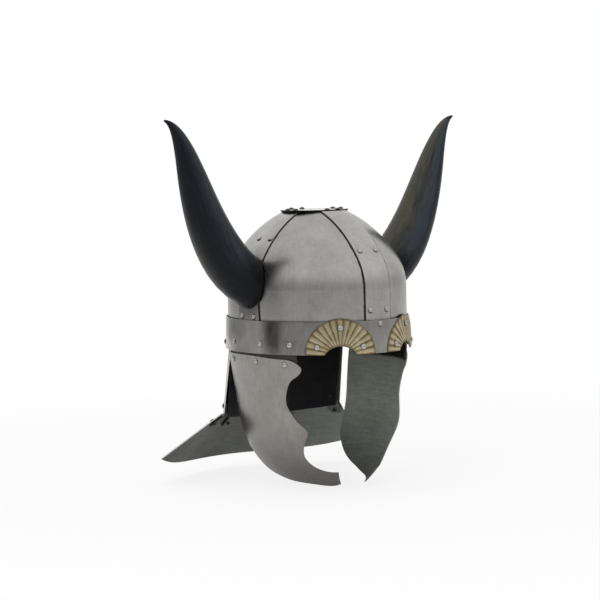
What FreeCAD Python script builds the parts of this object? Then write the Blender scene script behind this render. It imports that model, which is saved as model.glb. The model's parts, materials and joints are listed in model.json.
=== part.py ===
import FreeCAD, Part
import math
import os

# Horned helmet of riveted sheet: four dome panels under four bands, a crown plate and a brow band,
# two horns on wooden plugs, cheek plates on leather hinges and a neck guard with a hinged flare.
# Millimetres. The wearer faces -Y, the wearer's left is +X and up is +Z.
# The origin is the centre of the head opening, at the lower edge of the brow band.

V = FreeCAD.Vector

# Shell of the helmet
brow_half_width = 98.0
brow_half_length = 118.0
brow_height = 36.5
brow_spread = 1.5
dome_rise = 121.5
dome_wall_rise = 34.5
dome_shoulder_angle = 35.2
dome_shoulder_radius = 56.2
dome_flat_length = 42.0
dome_hem = 4.0
sheet = 1.2
lap_gap = 0.15
overrun = 300.0

# Bands, panels and crown plate
front_band_half = 17.0
side_band_half_low = 21.0
side_band_half_high = 14.0
band_end = 21.0
panel_seam_half = 3.0
panel_crown_radius = 24.0
crown_plate_radius = 39.0

# Eye arches and brass fans on the brow
arch_angle = 27.7
arch_half_width = 17.8
arch_height = 9.5
fan_radius = 39.5
fan_sheet = 0.9
fan_flutes = 15
flute_depth = 0.4
flute_half_width = 1.3
flute_inner_radius = 12.0
flute_end_angle = 12.0

# Rivets
rivet_head_radius = 3.4
rivet_head_height = 1.8
rivet_shank_radius = 1.5
rivet_tail_radius = 2.3
rivet_tail_height = 0.8
rivet_hole_play = 0.1
rivet_seat = 0.12
rivet_hole_reach = 10.0

# Where the rivets stand: distance off the band's middle, or angle round the brow, and height
band_rivet_low_off = 11.3
band_rivet_high_off = 10.9
front_rivet_low_z = 47.8
front_rivet_high_z = 113.0
side_rivet_low_z = 40.8
side_rivet_high_z = 127.0
crown_rivet_off = 7.5
crown_rivet_side = 32.0
crown_rivet_front = 34.5
brow_rivet_z = 32.6
fan_rivet_low_off = 25.7
fan_rivet_low_z = 8.5
fan_rivet_high_z = 29.5
strip_rivet_angles = (58.7, 78.9, 104.3)
strip_rivet_z = 11.0
neck_rivet_angles = (128.0, 148.0, 170.0)
neck_rivet_z = 7.0

# Horns: the middle line is one curve from the dome wall to the tip
horn_root_x = 90.3
horn_root_z = 77.1
horn_reach = 114.0
horn_rise = 184.8
horn_lean = 5.0
horn_path_shares = ((0.0, 0.0, 0.0), (0.687, 0.228, 0.0), (0.667, 0.948, 1.0), (1.0, 1.0, 1.0))
horn_base_radius = 28.0
horn_radius_shares = (1.0, 1.05, 0.42, 0.045)
horn_sections = 12
horn_tail = 18.0
horn_wall = 5.0
horn_hollow_sections = 7
horn_seat_gap = 0.3
plug_gap = 0.3
plug_sections = 3
screw_off = 12.0
screw_z = 78.0
screw_radius = 2.0
screw_length = 26.0
screw_head_radius = 4.5
screw_head_height = 2.6
washer_radius = 6.5
washer_sheet = 1.2
screw_play = 0.2
wall_standoff = 1.4

# Neck plate, its lining and the flare
neck_top = 14.0
neck_end_angle_top = 120.7
neck_end_angle_low = 125.5
neck_end_low_z = -77.0
neck_back_low_z = -86.0
neck_spread = 11.0
lining_leather = 2.0
lining_drop = 4.0
lining_end_extra = 1.0
lining_flare = 4.6
flare_gap = 2.0
flare_lap = 0.0
flare_back_width = 56.0
flare_corner_width = 71.0
flare_back_low_z = -142.5
flare_corner_low_z = -127.5
flare_corner_power = 4
flare_sections = 13

# Leather tabs between the neck plate and the flare
tab_angles = (130.0, 158.0)
tab_half_width = 7.0
tab_leg = 15.0
tab_leather = 2.0
tab_gap = 0.6
tab_flare_gap = 1.4
tab_bend_drop = 1.2
tab_step = 4.0
tab_rivet_share = 0.62

# Cheek plates: a sheet bent round an upright axis, straight at the top and curling in below
cheek_axis_x = 31.7
cheek_bend_z = -70.6
cheek_bend_radius = 120.6
cheek_lean = 8.2
cheek_curl_radius = 144.5
cheek_low_z = -158.0
cheek_turn = 120.0
cheek_rear = 52.0
cheek_width = 122.0
cheek_drop = 155.0
cheek_top_shares = ((0.0, 0.019), (0.25, 0.018), (0.51, 0.019), (0.83, 0.035))
cheek_front_shares = (
    (0.935, 0.047), (0.998, 0.094), (0.972, 0.145), (0.902, 0.186), (0.853, 0.242),
    (0.824, 0.31), (0.821, 0.375), (0.850, 0.426), (0.886, 0.476), (0.928, 0.519), (0.957, 0.568))
cheek_jaw_shares = (
    (0.957, 0.568), (0.927, 0.624), (0.889, 0.67), (0.861, 0.717), (0.846, 0.765),
    (0.855, 0.803), (0.879, 0.838), (0.921, 0.865), (0.968, 0.877), (1.01, 0.878))
cheek_lower_shares = (
    (0.937, 0.975), (0.897, 0.990), (0.794, 0.986), (0.669, 0.974), (0.525, 0.959),
    (0.41, 0.935), (0.301, 0.906), (0.174, 0.848), (0.081, 0.769), (0.040, 0.709),
    (0.021, 0.617), (0.02, 0.465), (0.012, 0.33), (0.0, 0.16), (0.0, 0.019))
cheek_rivet_shares = (0.13, 0.54, 0.865)
cheek_rivet_drop = 9.0
cheek_rivet_front_drop = 11.5
strip_top = 17.0
strip_drop = 17.0
strip_margin = 5.0
strip_front = 66.0
strip_leather = 2.0

# Leather liner
liner_leather = 2.0
liner_low_z = 36.5
liner_high_z = 60.0
liner_top_z = 131.0
liner_shoulder_radius = 38.0
tongue_count = 8
tongue_low_z = 52.0
tongue_half_low = 24.0
tongue_half_high = 6.5
tongue_hole_radius = 16.0
lace_ring_radius = 19.5
lace_radius = 1.2
lace_gap = 0.5

os.makedirs("parts", exist_ok=True)


def save(name, shape):
    shape.exportStep("parts/" + name + ".step")
    print(name, len(shape.Solids), round(shape.Volume, 1), shape.isValid())


def box(x0, x1, y0, y1, z0, z1):
    return Part.makeBox(x1 - x0, y1 - y0, z1 - z0, V(x0, y0, z0))


def mirrored(shape):
    return shape.mirror(V(0, 0, 0), V(1, 0, 0))


def oval(shape, half_width, half_length):
    # A turned shape becomes an oval one when its width across X is squeezed
    squeeze = FreeCAD.Matrix()
    squeeze.A11 = half_width / half_length
    return shape.transformGeometry(squeeze)


def polygon_face(points):
    return Part.Face(Part.makePolygon(list(points) + [points[0]]))


def spline(points):
    curve = Part.BSplineCurve()
    curve.interpolate(Points=points)
    return curve.toShape()


def level(count):
    # Depth of a lapped sheet's outer face, counted inward from the brow band
    return count * (sheet + lap_gap)


def spread_at(z):
    return max(0.0, brow_spread * (brow_height - z) / brow_height)


wall_z = brow_height + dome_wall_rise
dome_top = brow_height + dome_rise


class Arch:
    # Upright section of a dome: a straight wall, a shoulder arc, a crown arc and a flat top
    def __init__(self, half_length, wall, top, shoulder, flat):
        turn = math.radians(dome_shoulder_angle)
        out = V(math.cos(turn), 0, math.sin(turn))
        self.half_length = half_length
        self.wall = wall
        self.shoulder = shoulder
        self.start = V(half_length, 0, wall)
        self.middle = V(half_length - shoulder, 0, wall)
        self.knee = self.middle + out * shoulder
        self.end = V(flat, 0, top)
        span = self.end - self.knee
        self.crown = -span.dot(span) / (2 * span.dot(out))
        self.centre = self.knee - out * self.crown

    def share(self, z):
        # Share of the full plan size at a height
        if z <= self.wall:
            return 1.0
        if z < self.knee.z:
            reach = self.middle.x + math.sqrt(self.shoulder ** 2 - (z - self.wall) ** 2)
        else:
            reach = self.centre.x + math.sqrt(self.crown ** 2 - (z - self.centre.z) ** 2)
        return reach / self.half_length

    def edges(self):
        bend = self.start + self.knee - self.middle * 2
        bend = self.middle + bend.normalize() * self.shoulder
        rise = self.knee + self.end - self.centre * 2
        rise = self.centre + rise.normalize() * self.crown
        return [
            Part.Arc(self.start, bend, self.knee).toShape(),
            Part.Arc(self.knee, rise, self.end).toShape(),
            Part.makeLine(self.end, V(0, 0, self.end.z)),
        ]


def turned_dome(half_width, arch):
    half_length = arch.half_length
    foot = V(half_length + spread_at(0.0), 0, 0)
    shoulder = V(half_length, 0, brow_height)
    edges = [
        Part.makeLine(V(0, 0, 0), foot),
        Part.makeLine(foot, shoulder),
        Part.makeLine(shoulder, arch.start),
    ]
    edges += arch.edges()
    edges.append(Part.makeLine(V(0, 0, arch.end.z), V(0, 0, 0)))
    solid = Part.Face(Part.Wire(edges)).revolve(V(0, 0, 0), V(0, 0, 1), 360)
    return oval(solid, half_width, half_length)


def dome_arch(depth):
    top = dome_top - depth
    return Arch(brow_half_length - depth, wall_z, top, dome_shoulder_radius, dome_flat_length)


def dome_solid(depth):
    return turned_dome(brow_half_width - depth, dome_arch(depth))


def dome_layer(depth, thickness):
    return dome_solid(depth).cut(dome_solid(depth + thickness))


def wall_spot(angle, z, depth):
    # A point on the dome or brow at an angle from the front, and the outward direction there
    arch = dome_arch(depth)
    half_length = arch.half_length + spread_at(z)
    half_width = half_length * (brow_half_width - depth) / arch.half_length
    share = arch.share(z)
    turn = math.radians(angle)
    spot = V(half_width * share * math.sin(turn), -half_length * share * math.cos(turn), z)
    step = sheet / 2
    rise = (arch.share(z + step) - arch.share(z - step)) / (2 * step)
    rise -= (spread_at(z - step) - spread_at(z + step)) / (2 * step) / half_length
    normal = V(spot.x / half_width ** 2, spot.y / half_length ** 2, -share * rise)
    return spot, normal.normalize()


def band_spot(side, off, z, depth):
    # A point beside the middle line of a band: side is 0 front, 1 left, 2 rear and 3 right
    share = dome_arch(depth).share(z)
    across = (brow_half_width, brow_half_length)[side % 2] - depth
    turn = math.degrees(math.asin(off / (across * share)))
    return wall_spot(90.0 * side + turn, z, depth)


def lay(shape, spot, normal):
    # Turn a shape built about +Z so that it stands on a surface
    shape.Placement = FreeCAD.Placement(spot, FreeCAD.Rotation(V(0, 0, 1), normal))
    return shape


def rivet(spot, normal, grip):
    # A rivet with a domed head outside and a flattened tail inside, through sheets of total depth grip
    rise = rivet_seat
    cap_radius = (rivet_head_radius ** 2 + rivet_head_height ** 2) / (2 * rivet_head_height)
    half = math.atan2(rivet_head_radius, cap_radius - rivet_head_height) / 2
    top = V(0, 0, rise + rivet_head_height)
    mid = top + V(cap_radius * math.sin(half), 0, cap_radius * (math.cos(half) - 1))
    rim = V(rivet_head_radius, 0, rise)
    tail = -grip - rivet_seat
    corners = [
        rim,
        V(rivet_shank_radius, 0, rise),
        V(rivet_shank_radius, 0, tail),
        V(rivet_tail_radius, 0, tail),
        V(rivet_tail_radius, 0, tail - rivet_tail_height),
        V(0, 0, tail - rivet_tail_height),
        top,
    ]
    edges = [Part.makeLine(a, b) for a, b in zip(corners[:-1], corners[1:])]
    edges.append(Part.Arc(top, mid, rim).toShape())
    solid = Part.Face(Part.Wire(edges)).revolve(V(0, 0, 0), V(0, 0, 1), 360)
    return lay(solid, spot, normal)


def rivet_hole(spot, normal):
    radius = rivet_shank_radius + rivet_hole_play
    hole = Part.makeCylinder(radius, 2 * rivet_hole_reach, V(0, 0, -rivet_hole_reach))
    return lay(hole, spot, normal)


def riveted(spots, grip):
    return Part.makeCompound([rivet(spot, normal, grip) for spot, normal in spots])


def drilled(shape, spots):
    near = []
    for spot, normal in spots:
        hole = rivet_hole(spot, normal)
        if hole.BoundBox.intersect(shape.BoundBox):
            near.append(hole)
    return shape.cut(near) if near else shape


def one(shape):
    # The single solid of a cut shape
    solids = sorted(shape.Solids, key=lambda solid: solid.Volume)
    return solids[-1]


def arch_frame(side):
    # Foot of an eye arch on the brow band, and the directions outward and along the band
    turn = math.radians(arch_angle * side)
    foot = V(brow_half_width * math.sin(turn), -brow_half_length * math.cos(turn), 0)
    out = V(foot.x / brow_half_width ** 2, foot.y / brow_half_length ** 2, 0).normalize()
    return foot, out, V(-out.y, out.x, 0)


def through_wall(face, out):
    # A flat outline standing on the wall, pushed through it both ways
    face.translate(out * -brow_height)
    return face.extrude(out * (2 * brow_height))


def arch_cutter(side):
    foot, out, along = arch_frame(side)
    radius = (arch_half_width ** 2 + arch_height ** 2) / (2 * arch_height)
    middle = foot + V(0, 0, arch_height - radius)
    disc = Part.Face(Part.Wire(Part.makeCircle(radius, middle, out)))
    return through_wall(disc, out)


def band_rivet_spots(depth):
    spots = []
    for side in range(4):
        low = (front_rivet_low_z, side_rivet_low_z)[side % 2]
        high = (front_rivet_high_z, side_rivet_high_z)[side % 2]
        for sign in (-1, 1):
            spots.append(band_spot(side, sign * band_rivet_low_off, low, depth))
            spots.append(band_spot(side, sign * band_rivet_high_off, high, depth))
    return spots


def crown_rivet_spots():
    spots = []
    for sign in (-1, 1):
        for off in (-crown_rivet_off, crown_rivet_off):
            spots.append(V(off, sign * crown_rivet_front, dome_top))
            spots.append(V(sign * crown_rivet_side, off, dome_top))
    return [(spot, V(0, 0, 1)) for spot in spots]


def fan_rivet_spots(side):
    turn = math.radians(arch_angle)
    pace = math.hypot(brow_half_width * math.cos(turn), brow_half_length * math.sin(turn))
    step = math.degrees(fan_rivet_low_off / pace)
    depth = -lap_gap - fan_sheet
    places = ((-step, fan_rivet_low_z), (0.0, fan_rivet_high_z), (step, fan_rivet_low_z))
    return [wall_spot(side * (arch_angle + turned), z, depth) for turned, z in places]


band_spots = band_rivet_spots(level(1))
band_low_spots = band_spots[0::2]
band_high_spots = band_spots[1::2]
crown_spots = crown_rivet_spots()
brow_spots = [wall_spot(0.0, brow_rivet_z, 0.0), wall_spot(180.0, brow_rivet_z, 0.0)]
fan_spots = {side: fan_rivet_spots(side) for side in (-1, 1)}
strip_spots = {side: [wall_spot(side * angle, strip_rivet_z, 0.0) for angle in strip_rivet_angles]
               for side in (-1, 1)}
neck_spots = [wall_spot(side * angle, neck_rivet_z, 0.0) for angle in neck_rivet_angles for side in (-1, 1)]
all_spots = band_spots + crown_spots + brow_spots + neck_spots
for side in (-1, 1):
    all_spots = all_spots + fan_spots[side] + strip_spots[side]


def screw_spots(side):
    # Screws lie flat, from inside the dome wall into the horn's plug
    spots = []
    for off in (-screw_off, screw_off):
        share = dome_arch(level(2) + sheet).share(screw_z)
        half_length = brow_half_length - level(2) - sheet
        half_width = brow_half_width - level(2) - sheet
        x = half_width * math.sqrt(share ** 2 - (off / half_length) ** 2)
        spots.append(V(side * (x - wall_standoff), off, screw_z))
    return spots


def screw_hole(spot, side):
    radius = screw_radius + screw_play
    return Part.makeCylinder(radius, 2 * screw_length, spot - V(side * screw_length, 0, 0), V(side, 0, 0))


screw_holes = [screw_hole(spot, side) for side in (-1, 1) for spot in screw_spots(side)]

# Dome panels
arches = [arch_cutter(-1), arch_cutter(1)]
panel_layer = dome_layer(level(2), sheet)
panel_layer = panel_layer.common(box(-overrun, overrun, -overrun, overrun, dome_hem, overrun))
crown_hole = Part.makeCylinder(panel_crown_radius, overrun)
panel_names = {(-1, -1): "front_right", (1, -1): "front_left", (-1, 1): "rear_right", (1, 1): "rear_left"}
for (x_side, y_side), place in panel_names.items():
    x_range = sorted((x_side * panel_seam_half, x_side * overrun))
    y_range = sorted((y_side * panel_seam_half, y_side * overrun))
    quarter = box(x_range[0], x_range[1], y_range[0], y_range[1], 0, overrun)
    panel = panel_layer.common(quarter).cut([crown_hole] + arches)
    panel = drilled(panel, all_spots).cut(screw_holes)
    save("dome_panel_" + place, one(panel))

# Bands
band_layer = dome_layer(level(1), sheet)
band_layer = band_layer.common(box(-overrun, overrun, -overrun, overrun, dome_hem, overrun))
half = front_band_half
front_band = band_layer.common(box(-half, half, -overrun, -band_end, 0, overrun))
rear_band = band_layer.common(box(-half, half, band_end, overrun, 0, overrun))
save("front_band", one(drilled(front_band, all_spots)))
save("rear_band", one(drilled(rear_band, all_spots)))
side_corners = [
    V(band_end, -side_band_half_low, 0),
    V(band_end, side_band_half_low, 0),
    V(band_end, side_band_half_high, dome_top),
    V(band_end, -side_band_half_high, dome_top),
]
side_block = polygon_face(side_corners).extrude(V(overrun, 0, 0))
side_band = one(drilled(band_layer.common(side_block), all_spots).cut(screw_holes))
save("side_band_left", side_band)
save("side_band_right", mirrored(side_band))

# Crown plate and brow band
crown_plate = Part.makeCylinder(crown_plate_radius, sheet, V(0, 0, dome_top - sheet))
save("crown_plate", one(drilled(crown_plate, crown_spots)))
cover_layer = dome_layer(0.0, sheet)
brow_band = cover_layer.common(box(-overrun, overrun, -overrun, overrun, 0, brow_height)).cut(arches)
save("brow_band", one(drilled(brow_band, all_spots)))


def fan_outline(side):
    foot, out, along = arch_frame(side)
    left = foot - along * fan_radius
    right = foot + along * fan_radius
    top = foot + V(0, 0, fan_radius)
    rim = Part.Arc(left, top, right).toShape()
    return through_wall(Part.Face(Part.Wire([rim, Part.makeLine(right, left)])), out)


def flute_blocks(side):
    foot, out, along = arch_frame(side)
    blocks = []
    for index in range(fan_flutes):
        angle = flute_end_angle + (180.0 - 2 * flute_end_angle) * index / (fan_flutes - 1)
        turn = math.radians(angle)
        ray = along * math.cos(turn) + V(0, 0, math.sin(turn))
        cross = along * -math.sin(turn) + V(0, 0, math.cos(turn))
        inner = foot + ray * flute_inner_radius
        outer = foot + ray * (fan_radius + sheet)
        wide = cross * flute_half_width
        narrow = wide * (flute_inner_radius / fan_radius)
        face = polygon_face([inner - narrow, inner + narrow, outer + wide, outer - wide])
        blocks.append(through_wall(face, out))
    return blocks


# Brass fans: a half disc laid over the brow, cut by the eye arch and fluted like a shell
fan_layer = dome_layer(-lap_gap - fan_sheet, fan_sheet)
flute_layer = dome_layer(-lap_gap - 2 * fan_sheet, fan_sheet + flute_depth)
front_half = box(-overrun, overrun, -overrun, 0, 0, wall_z)
fan_layer = fan_layer.common(front_half)
flute_layer = flute_layer.common(front_half)
fan = fan_layer.common(fan_outline(1)).cut(arches[1])
flutes = flute_layer.common(Part.makeCompound(flute_blocks(1)))
fan = one(drilled(fan.cut(flutes), fan_spots[1]))
save("brow_fan_left", fan)
save("brow_fan_right", mirrored(fan))


def horn_station(share):
    # Place, slope and radius of the horn at a share of its length, in the left horn's frame
    a = (1 - share) ** 3
    b = 3 * share * (1 - share) ** 2
    c = 3 * share ** 2 * (1 - share)
    d = share ** 3
    weights = (a, b, c, d)
    out = sum(w * p[0] for w, p in zip(weights, horn_path_shares))
    up = sum(w * p[1] for w, p in zip(weights, horn_path_shares))
    lean = sum(w * p[2] for w, p in zip(weights, horn_path_shares))
    radius = horn_base_radius * sum(w * r for w, r in zip(weights, horn_radius_shares))
    spot = V(horn_root_x + horn_reach * out, -horn_lean * lean, horn_root_z + horn_rise * up)
    return spot, radius


def horn_ring(spot, way, radius):
    # The ring's seam stays on the same side all along the horn
    tilt = math.degrees(math.atan2(way.x, way.z))
    ring = Part.makeCircle(radius)
    ring.Placement = FreeCAD.Placement(spot, FreeCAD.Rotation(V(0, 1, 0), tilt))
    return Part.Wire(ring)


def horn_body(shrink, sections):
    rings = []
    for index in range(sections + 1):
        share = index / horn_sections
        step = 1.0 / (100 * horn_sections)
        spot, radius = horn_station(share)
        ahead = horn_station(share + step)[0]
        behind = horn_station(share - step)[0]
        way = (ahead - behind).normalize()
        if index == 0:
            rings.append(horn_ring(spot - way * horn_tail, way, radius - shrink))
        rings.append(horn_ring(spot, way, radius - shrink))
    return Part.makeLoft(rings, True, False)


# Horns: hollow at the base, seated on the side bands
outside = dome_solid(level(1) - horn_seat_gap)
horn = horn_body(0.0, horn_sections).cut(horn_body(horn_wall, horn_hollow_sections))
horn = one(horn.cut(outside))
plug = horn_body(horn_wall + plug_gap, plug_sections).cut(outside)
plug = one(plug.cut(screw_holes))
save("horn_left", horn)
save("horn_right", mirrored(horn))
save("horn_plug_left", plug)
save("horn_plug_right", mirrored(plug))

# Screws and washers inside the dome, two to each horn
screws = []
washers = []
for side in (-1, 1):
    way = V(side, 0, 0)
    for spot in screw_spots(side):
        seat = spot - way * washer_sheet
        head = Part.makeCylinder(screw_head_radius, screw_head_height, seat, way * -1)
        shank = Part.makeCylinder(screw_radius, screw_length, seat, way)
        screws.append(head.fuse(shank))
        ring = Part.makeCylinder(washer_radius, washer_sheet, seat, way)
        washers.append(ring.cut(Part.makeCylinder(screw_radius + screw_play, washer_sheet, seat, way)))
save("horn_screws", Part.makeCompound(screws))
save("horn_washers", Part.makeCompound(washers))


neck_width_share = (brow_half_width - level(3)) / (brow_half_length - level(3))


def neck_low_z(y):
    # The neck plate's lower edge drops towards the back
    y_end = -(brow_half_length + neck_spread) * math.cos(math.radians(neck_end_angle_low))
    share = (y - y_end) / (brow_half_length + neck_spread - y_end)
    return neck_end_low_z + (neck_back_low_z - neck_end_low_z) * share


def neck_offset(z):
    # How far the neck plate's outer face stands off the brow band's plan size at its top
    if z > 0:
        return spread_at(z) - level(3)
    return spread_at(0.0) - level(3) + neck_spread * z / neck_back_low_z


def end_plane(side, extra):
    # A cutting block past an end edge of the neck plate, extra degrees further in
    top_turn = math.radians(neck_end_angle_top + extra) * side
    low_turn = math.radians(neck_end_angle_low + extra) * side
    top = V(math.sin(top_turn) * brow_half_width, -math.cos(top_turn) * brow_half_length, 0)
    low_width = brow_half_width + neck_offset(neck_end_low_z)
    low_length = brow_half_length + neck_offset(neck_end_low_z)
    low = V(math.sin(low_turn) * low_width, -math.cos(low_turn) * low_length, neck_end_low_z)
    radial = V(top.x, top.y, 0).normalize()
    normal = (low - top).cross(radial).normalize()
    if normal.y > 0:
        normal = normal * -1
    block = Part.makeBox(2 * overrun, 2 * overrun, overrun, V(-overrun, -overrun, 0))
    return lay(block, top, normal)


lining_low_z = neck_back_low_z - sheet - lining_drop


def lining_depth(z):
    # Depth of the lining's outer face inside the plate's: the lining leans in below the brow band
    return sheet + lap_gap + lining_flare * min(z, 0.0) / lining_low_z


def neck_sheet(rows, thickness, low_drop, end_extra):
    # A sector of the neck guard's upper part: rows are heights with the depths inside the plate's face
    outer = [V(brow_half_length + neck_offset(z) - depth, 0, z) for z, depth in rows]
    inner = [point - V(thickness, 0, 0) for point in outer]
    face = polygon_face(outer + inner[::-1])
    solid = face.revolve(V(0, 0, 0), V(0, 0, 1), 180)
    solid = oval(solid, neck_width_share, 1.0)
    y_back = brow_half_length + neck_spread
    slope = (neck_low_z(y_back) - neck_low_z(0.0)) / y_back
    below = Part.makeBox(2 * overrun, 2 * overrun, overrun, V(-overrun, -overrun, 0))
    floor_spot = V(0, 0, neck_low_z(0.0) - low_drop)
    below = lay(below, floor_spot, V(0, slope, -1))
    return one(solid.cut([below, end_plane(-1, end_extra), end_plane(1, end_extra)]))


neck_heights = (neck_top, 0.0, lining_low_z)
neck_plate = neck_sheet([(z, 0.0) for z in neck_heights], sheet, 0.0, 0.0)
lining_rows = [(z, lining_depth(z)) for z in neck_heights]
neck_lining = neck_sheet(lining_rows, lining_leather, lining_drop, lining_end_extra)


def neck_inner_spot(angle, z, depth):
    # A point on the neck guard at a depth inside the plate's outer face, with the outward direction
    turn = math.radians(angle)
    half_length = brow_half_length + neck_offset(z) - depth
    across = V(neck_width_share * math.sin(turn), -math.cos(turn), 0)
    slope = (neck_offset(z - sheet) - neck_offset(z + sheet)) / (2 * sheet)
    normal = V(across.x / neck_width_share ** 2, across.y, slope)
    return across * half_length + V(0, 0, z), normal.normalize()


def flare_edge(angle):
    # Upper and lower outer points of the flare at an angle from the front
    turn = math.radians(angle)
    across = V(math.sin(turn), -math.cos(turn), 0)
    y = (brow_half_length + neck_offset(neck_back_low_z)) * -math.cos(turn)
    hinge_z = neck_low_z(y) + flare_lap
    start = neck_inner_spot(angle, hinge_z, -(flare_gap + sheet))[0]
    swing = abs(180.0 - abs(angle)) / (180.0 - neck_end_angle_low)
    share = swing ** flare_corner_power
    width = flare_back_width + (flare_corner_width - flare_back_width) * share
    low_z = flare_back_low_z + (flare_corner_low_z - flare_back_low_z) * share
    return start, V(start.x + width * across.x, start.y + width * across.y, low_z)


def flare_ring(angle):
    start, rim = flare_edge(angle)
    down = (rim - start).normalize()
    turn = math.radians(angle)
    side = V(math.cos(turn), math.sin(turn), 0)
    inward = down.cross(side).normalize()
    if inward.z > 0:
        inward = inward * -1
    points = [start, rim, rim + inward * sheet, start + inward * sheet]
    return Part.makePolygon(points + [points[0]])


flare_rings = []
for index in range(flare_sections):
    share = 2.0 * index / (flare_sections - 1) - 1.0
    flare_rings.append(flare_ring(180.0 + share * (180.0 - neck_end_angle_low)))
neck_flare = Part.makeLoft(flare_rings, True, False)


def tab_profile(points, along):
    # Outline of a strap that follows points on its outer face, one leather thick all along
    ways = [(b - a).normalize() for a, b in zip(points[:-1], points[1:])]
    sides = [way.cross(along).normalize() for way in ways]
    if sides[0].dot(V(points[0].x, points[0].y, 0)) > 0:
        sides = [side * -1 for side in sides]
    inner = [points[0] + sides[0] * tab_leather]
    for before, after, point in zip(sides[:-1], sides[1:], points[1:-1]):
        corner = (before + after).normalize()
        inner.append(point + corner * (tab_leather / corner.dot(after)))
    inner.append(points[-1] + sides[-1] * tab_leather)
    return polygon_face([point - along * tab_half_width for point in points + inner[::-1]])


def flare_normal(angle, share):
    # A point on the flare's outer face part of the way down, and the outward direction there
    start, rim = flare_edge(angle)
    before = flare_edge(angle - 1.0)
    after = flare_edge(angle + 1.0)
    across = (after[0] + (after[1] - after[0]) * share) - (before[0] + (before[1] - before[0]) * share)
    normal = across.cross(rim - start).normalize()
    if normal.z < 0:
        normal = normal * -1
    return start + (rim - start) * share, normal


def tab_parts(angle):
    # A leather tab that runs down between plate and lining, under the plate and inside the flare
    turn = math.radians(angle)
    y = (brow_half_length + neck_offset(neck_back_low_z)) * -math.cos(turn)
    low_z = neck_low_z(y)
    depth = sheet + tab_gap
    knee, out = neck_inner_spot(angle, low_z - tab_bend_drop, depth)
    high = neck_inner_spot(angle, low_z + tab_leg, depth)[0]
    along = V(-out.y, out.x, 0).normalize()
    start, rim = flare_edge(angle)
    length = (rim - start).Length
    bend, normal = flare_normal(angle, tab_step / length)
    foot, normal = flare_normal(angle, (tab_step + tab_leg) / length)
    inset = sheet + tab_flare_gap
    points = [high, knee, bend - normal * inset, foot - normal * inset]
    flat = [point - along * (point - knee).dot(along) for point in points]
    solid = tab_profile(flat, along).extrude(along * (2 * tab_half_width))
    rivet_z = low_z + tab_leg * tab_rivet_share
    upper = neck_inner_spot(angle, rivet_z, 0.0)
    stretch = math.hypot(math.sin(turn) / neck_width_share, math.cos(turn))
    grip = (lining_depth(rivet_z) + lining_leather) / stretch
    lower = flare_normal(angle, (tab_step + tab_leg * tab_rivet_share) / length)
    return solid, upper, grip, lower


tabs = []
tab_spots = []
tab_rivets = []
flare_spots = []
for angle in tab_angles:
    for side in (-1, 1):
        solid, upper, grip, lower = tab_parts(side * angle)
        tabs.append(solid)
        tab_spots.append(upper)
        tab_rivets.append(rivet(upper[0], upper[1], grip))
        flare_spots.append(lower)
tab_node = Part.makeCompound([drilled(tab, tab_spots + flare_spots) for tab in tabs])
save("neck_plate", one(drilled(neck_plate, neck_spots + tab_spots)))
save("neck_lining", one(drilled(neck_lining, neck_spots + tab_spots)))
save("neck_flare", one(drilled(neck_flare, flare_spots)))
save("flare_hinge_tabs", tab_node)


def cheek_profile(depth, thickness):
    # Upright section of a cheek plate: straight and leaning above the bend, curling in below it
    lean = math.radians(cheek_lean)
    top_z = strip_top
    low = math.asin(math.sin(lean) + (cheek_bend_z - cheek_low_z) / cheek_curl_radius)
    centre = V(cheek_bend_radius - cheek_curl_radius * math.cos(lean), 0,
               cheek_bend_z + cheek_curl_radius * math.sin(lean))

    def on_curl(radius, angle):
        return centre + V(radius * math.cos(angle), 0, -radius * math.sin(angle))

    rows = []
    for radius in (cheek_curl_radius - depth, cheek_curl_radius - depth - thickness):
        bend = on_curl(radius, lean)
        top = bend + V(math.tan(lean) * (top_z - bend.z), 0, top_z - bend.z)
        middle = on_curl(radius, (lean + low) / 2)
        end = on_curl(radius, low)
        rows.append((top, bend, middle, end))
    outer, inner = rows
    edges = [
        Part.makeLine(outer[0], outer[1]),
        Part.Arc(outer[1], outer[2], outer[3]).toShape(),
        Part.makeLine(outer[3], inner[3]),
        Part.Arc(inner[3], inner[2], inner[1]).toShape(),
        Part.makeLine(inner[1], inner[0]),
        Part.makeLine(inner[0], outer[0]),
    ]
    return Part.Face(Part.Wire(edges))


def cheek_layer(depth, thickness):
    # The bent sheet of the left cheek, about an axis on the far side of the middle
    sheet_solid = cheek_profile(depth, thickness).revolve(V(0, 0, 0), V(0, 0, 1), cheek_turn)
    sheet_solid.rotate(V(0, 0, 0), V(0, 0, 1), -cheek_turn / 2)
    sheet_solid.translate(V(-cheek_axis_x, 0, 0))
    return sheet_solid


def cheek_point(pair):
    return V(0, cheek_rear - pair[0] * cheek_width, -pair[1] * cheek_drop)


def cheek_outline():
    top = [cheek_point(pair) for pair in cheek_top_shares + cheek_front_shares]
    jaw = [cheek_point(pair) for pair in cheek_jaw_shares]
    lower = [cheek_point(pair) for pair in cheek_lower_shares]
    edges = [spline(top), spline(jaw), Part.makeLine(jaw[-1], lower[0]), spline(lower)]
    return Part.Face(Part.Wire(edges)).extrude(V(overrun, 0, 0))


def cheek_surface_x(y, z, depth):
    lean = math.radians(cheek_lean)
    radius = cheek_bend_radius + (z - cheek_bend_z) * math.tan(lean) - depth
    return -cheek_axis_x + math.sqrt(radius ** 2 - y ** 2)


def cheek_rivet_spots():
    spots = []
    drops = (cheek_rivet_drop, cheek_rivet_drop, cheek_rivet_front_drop)
    for share, drop in zip(cheek_rivet_shares, drops):
        y = cheek_rear - share * cheek_width
        x = cheek_surface_x(y, -drop, 0.0)
        normal = V(x + cheek_axis_x, y, 0).normalize()
        normal = V(normal.x, normal.y, -math.tan(math.radians(cheek_lean))).normalize()
        spots.append((V(x, y, -drop), normal))
    return spots


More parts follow.
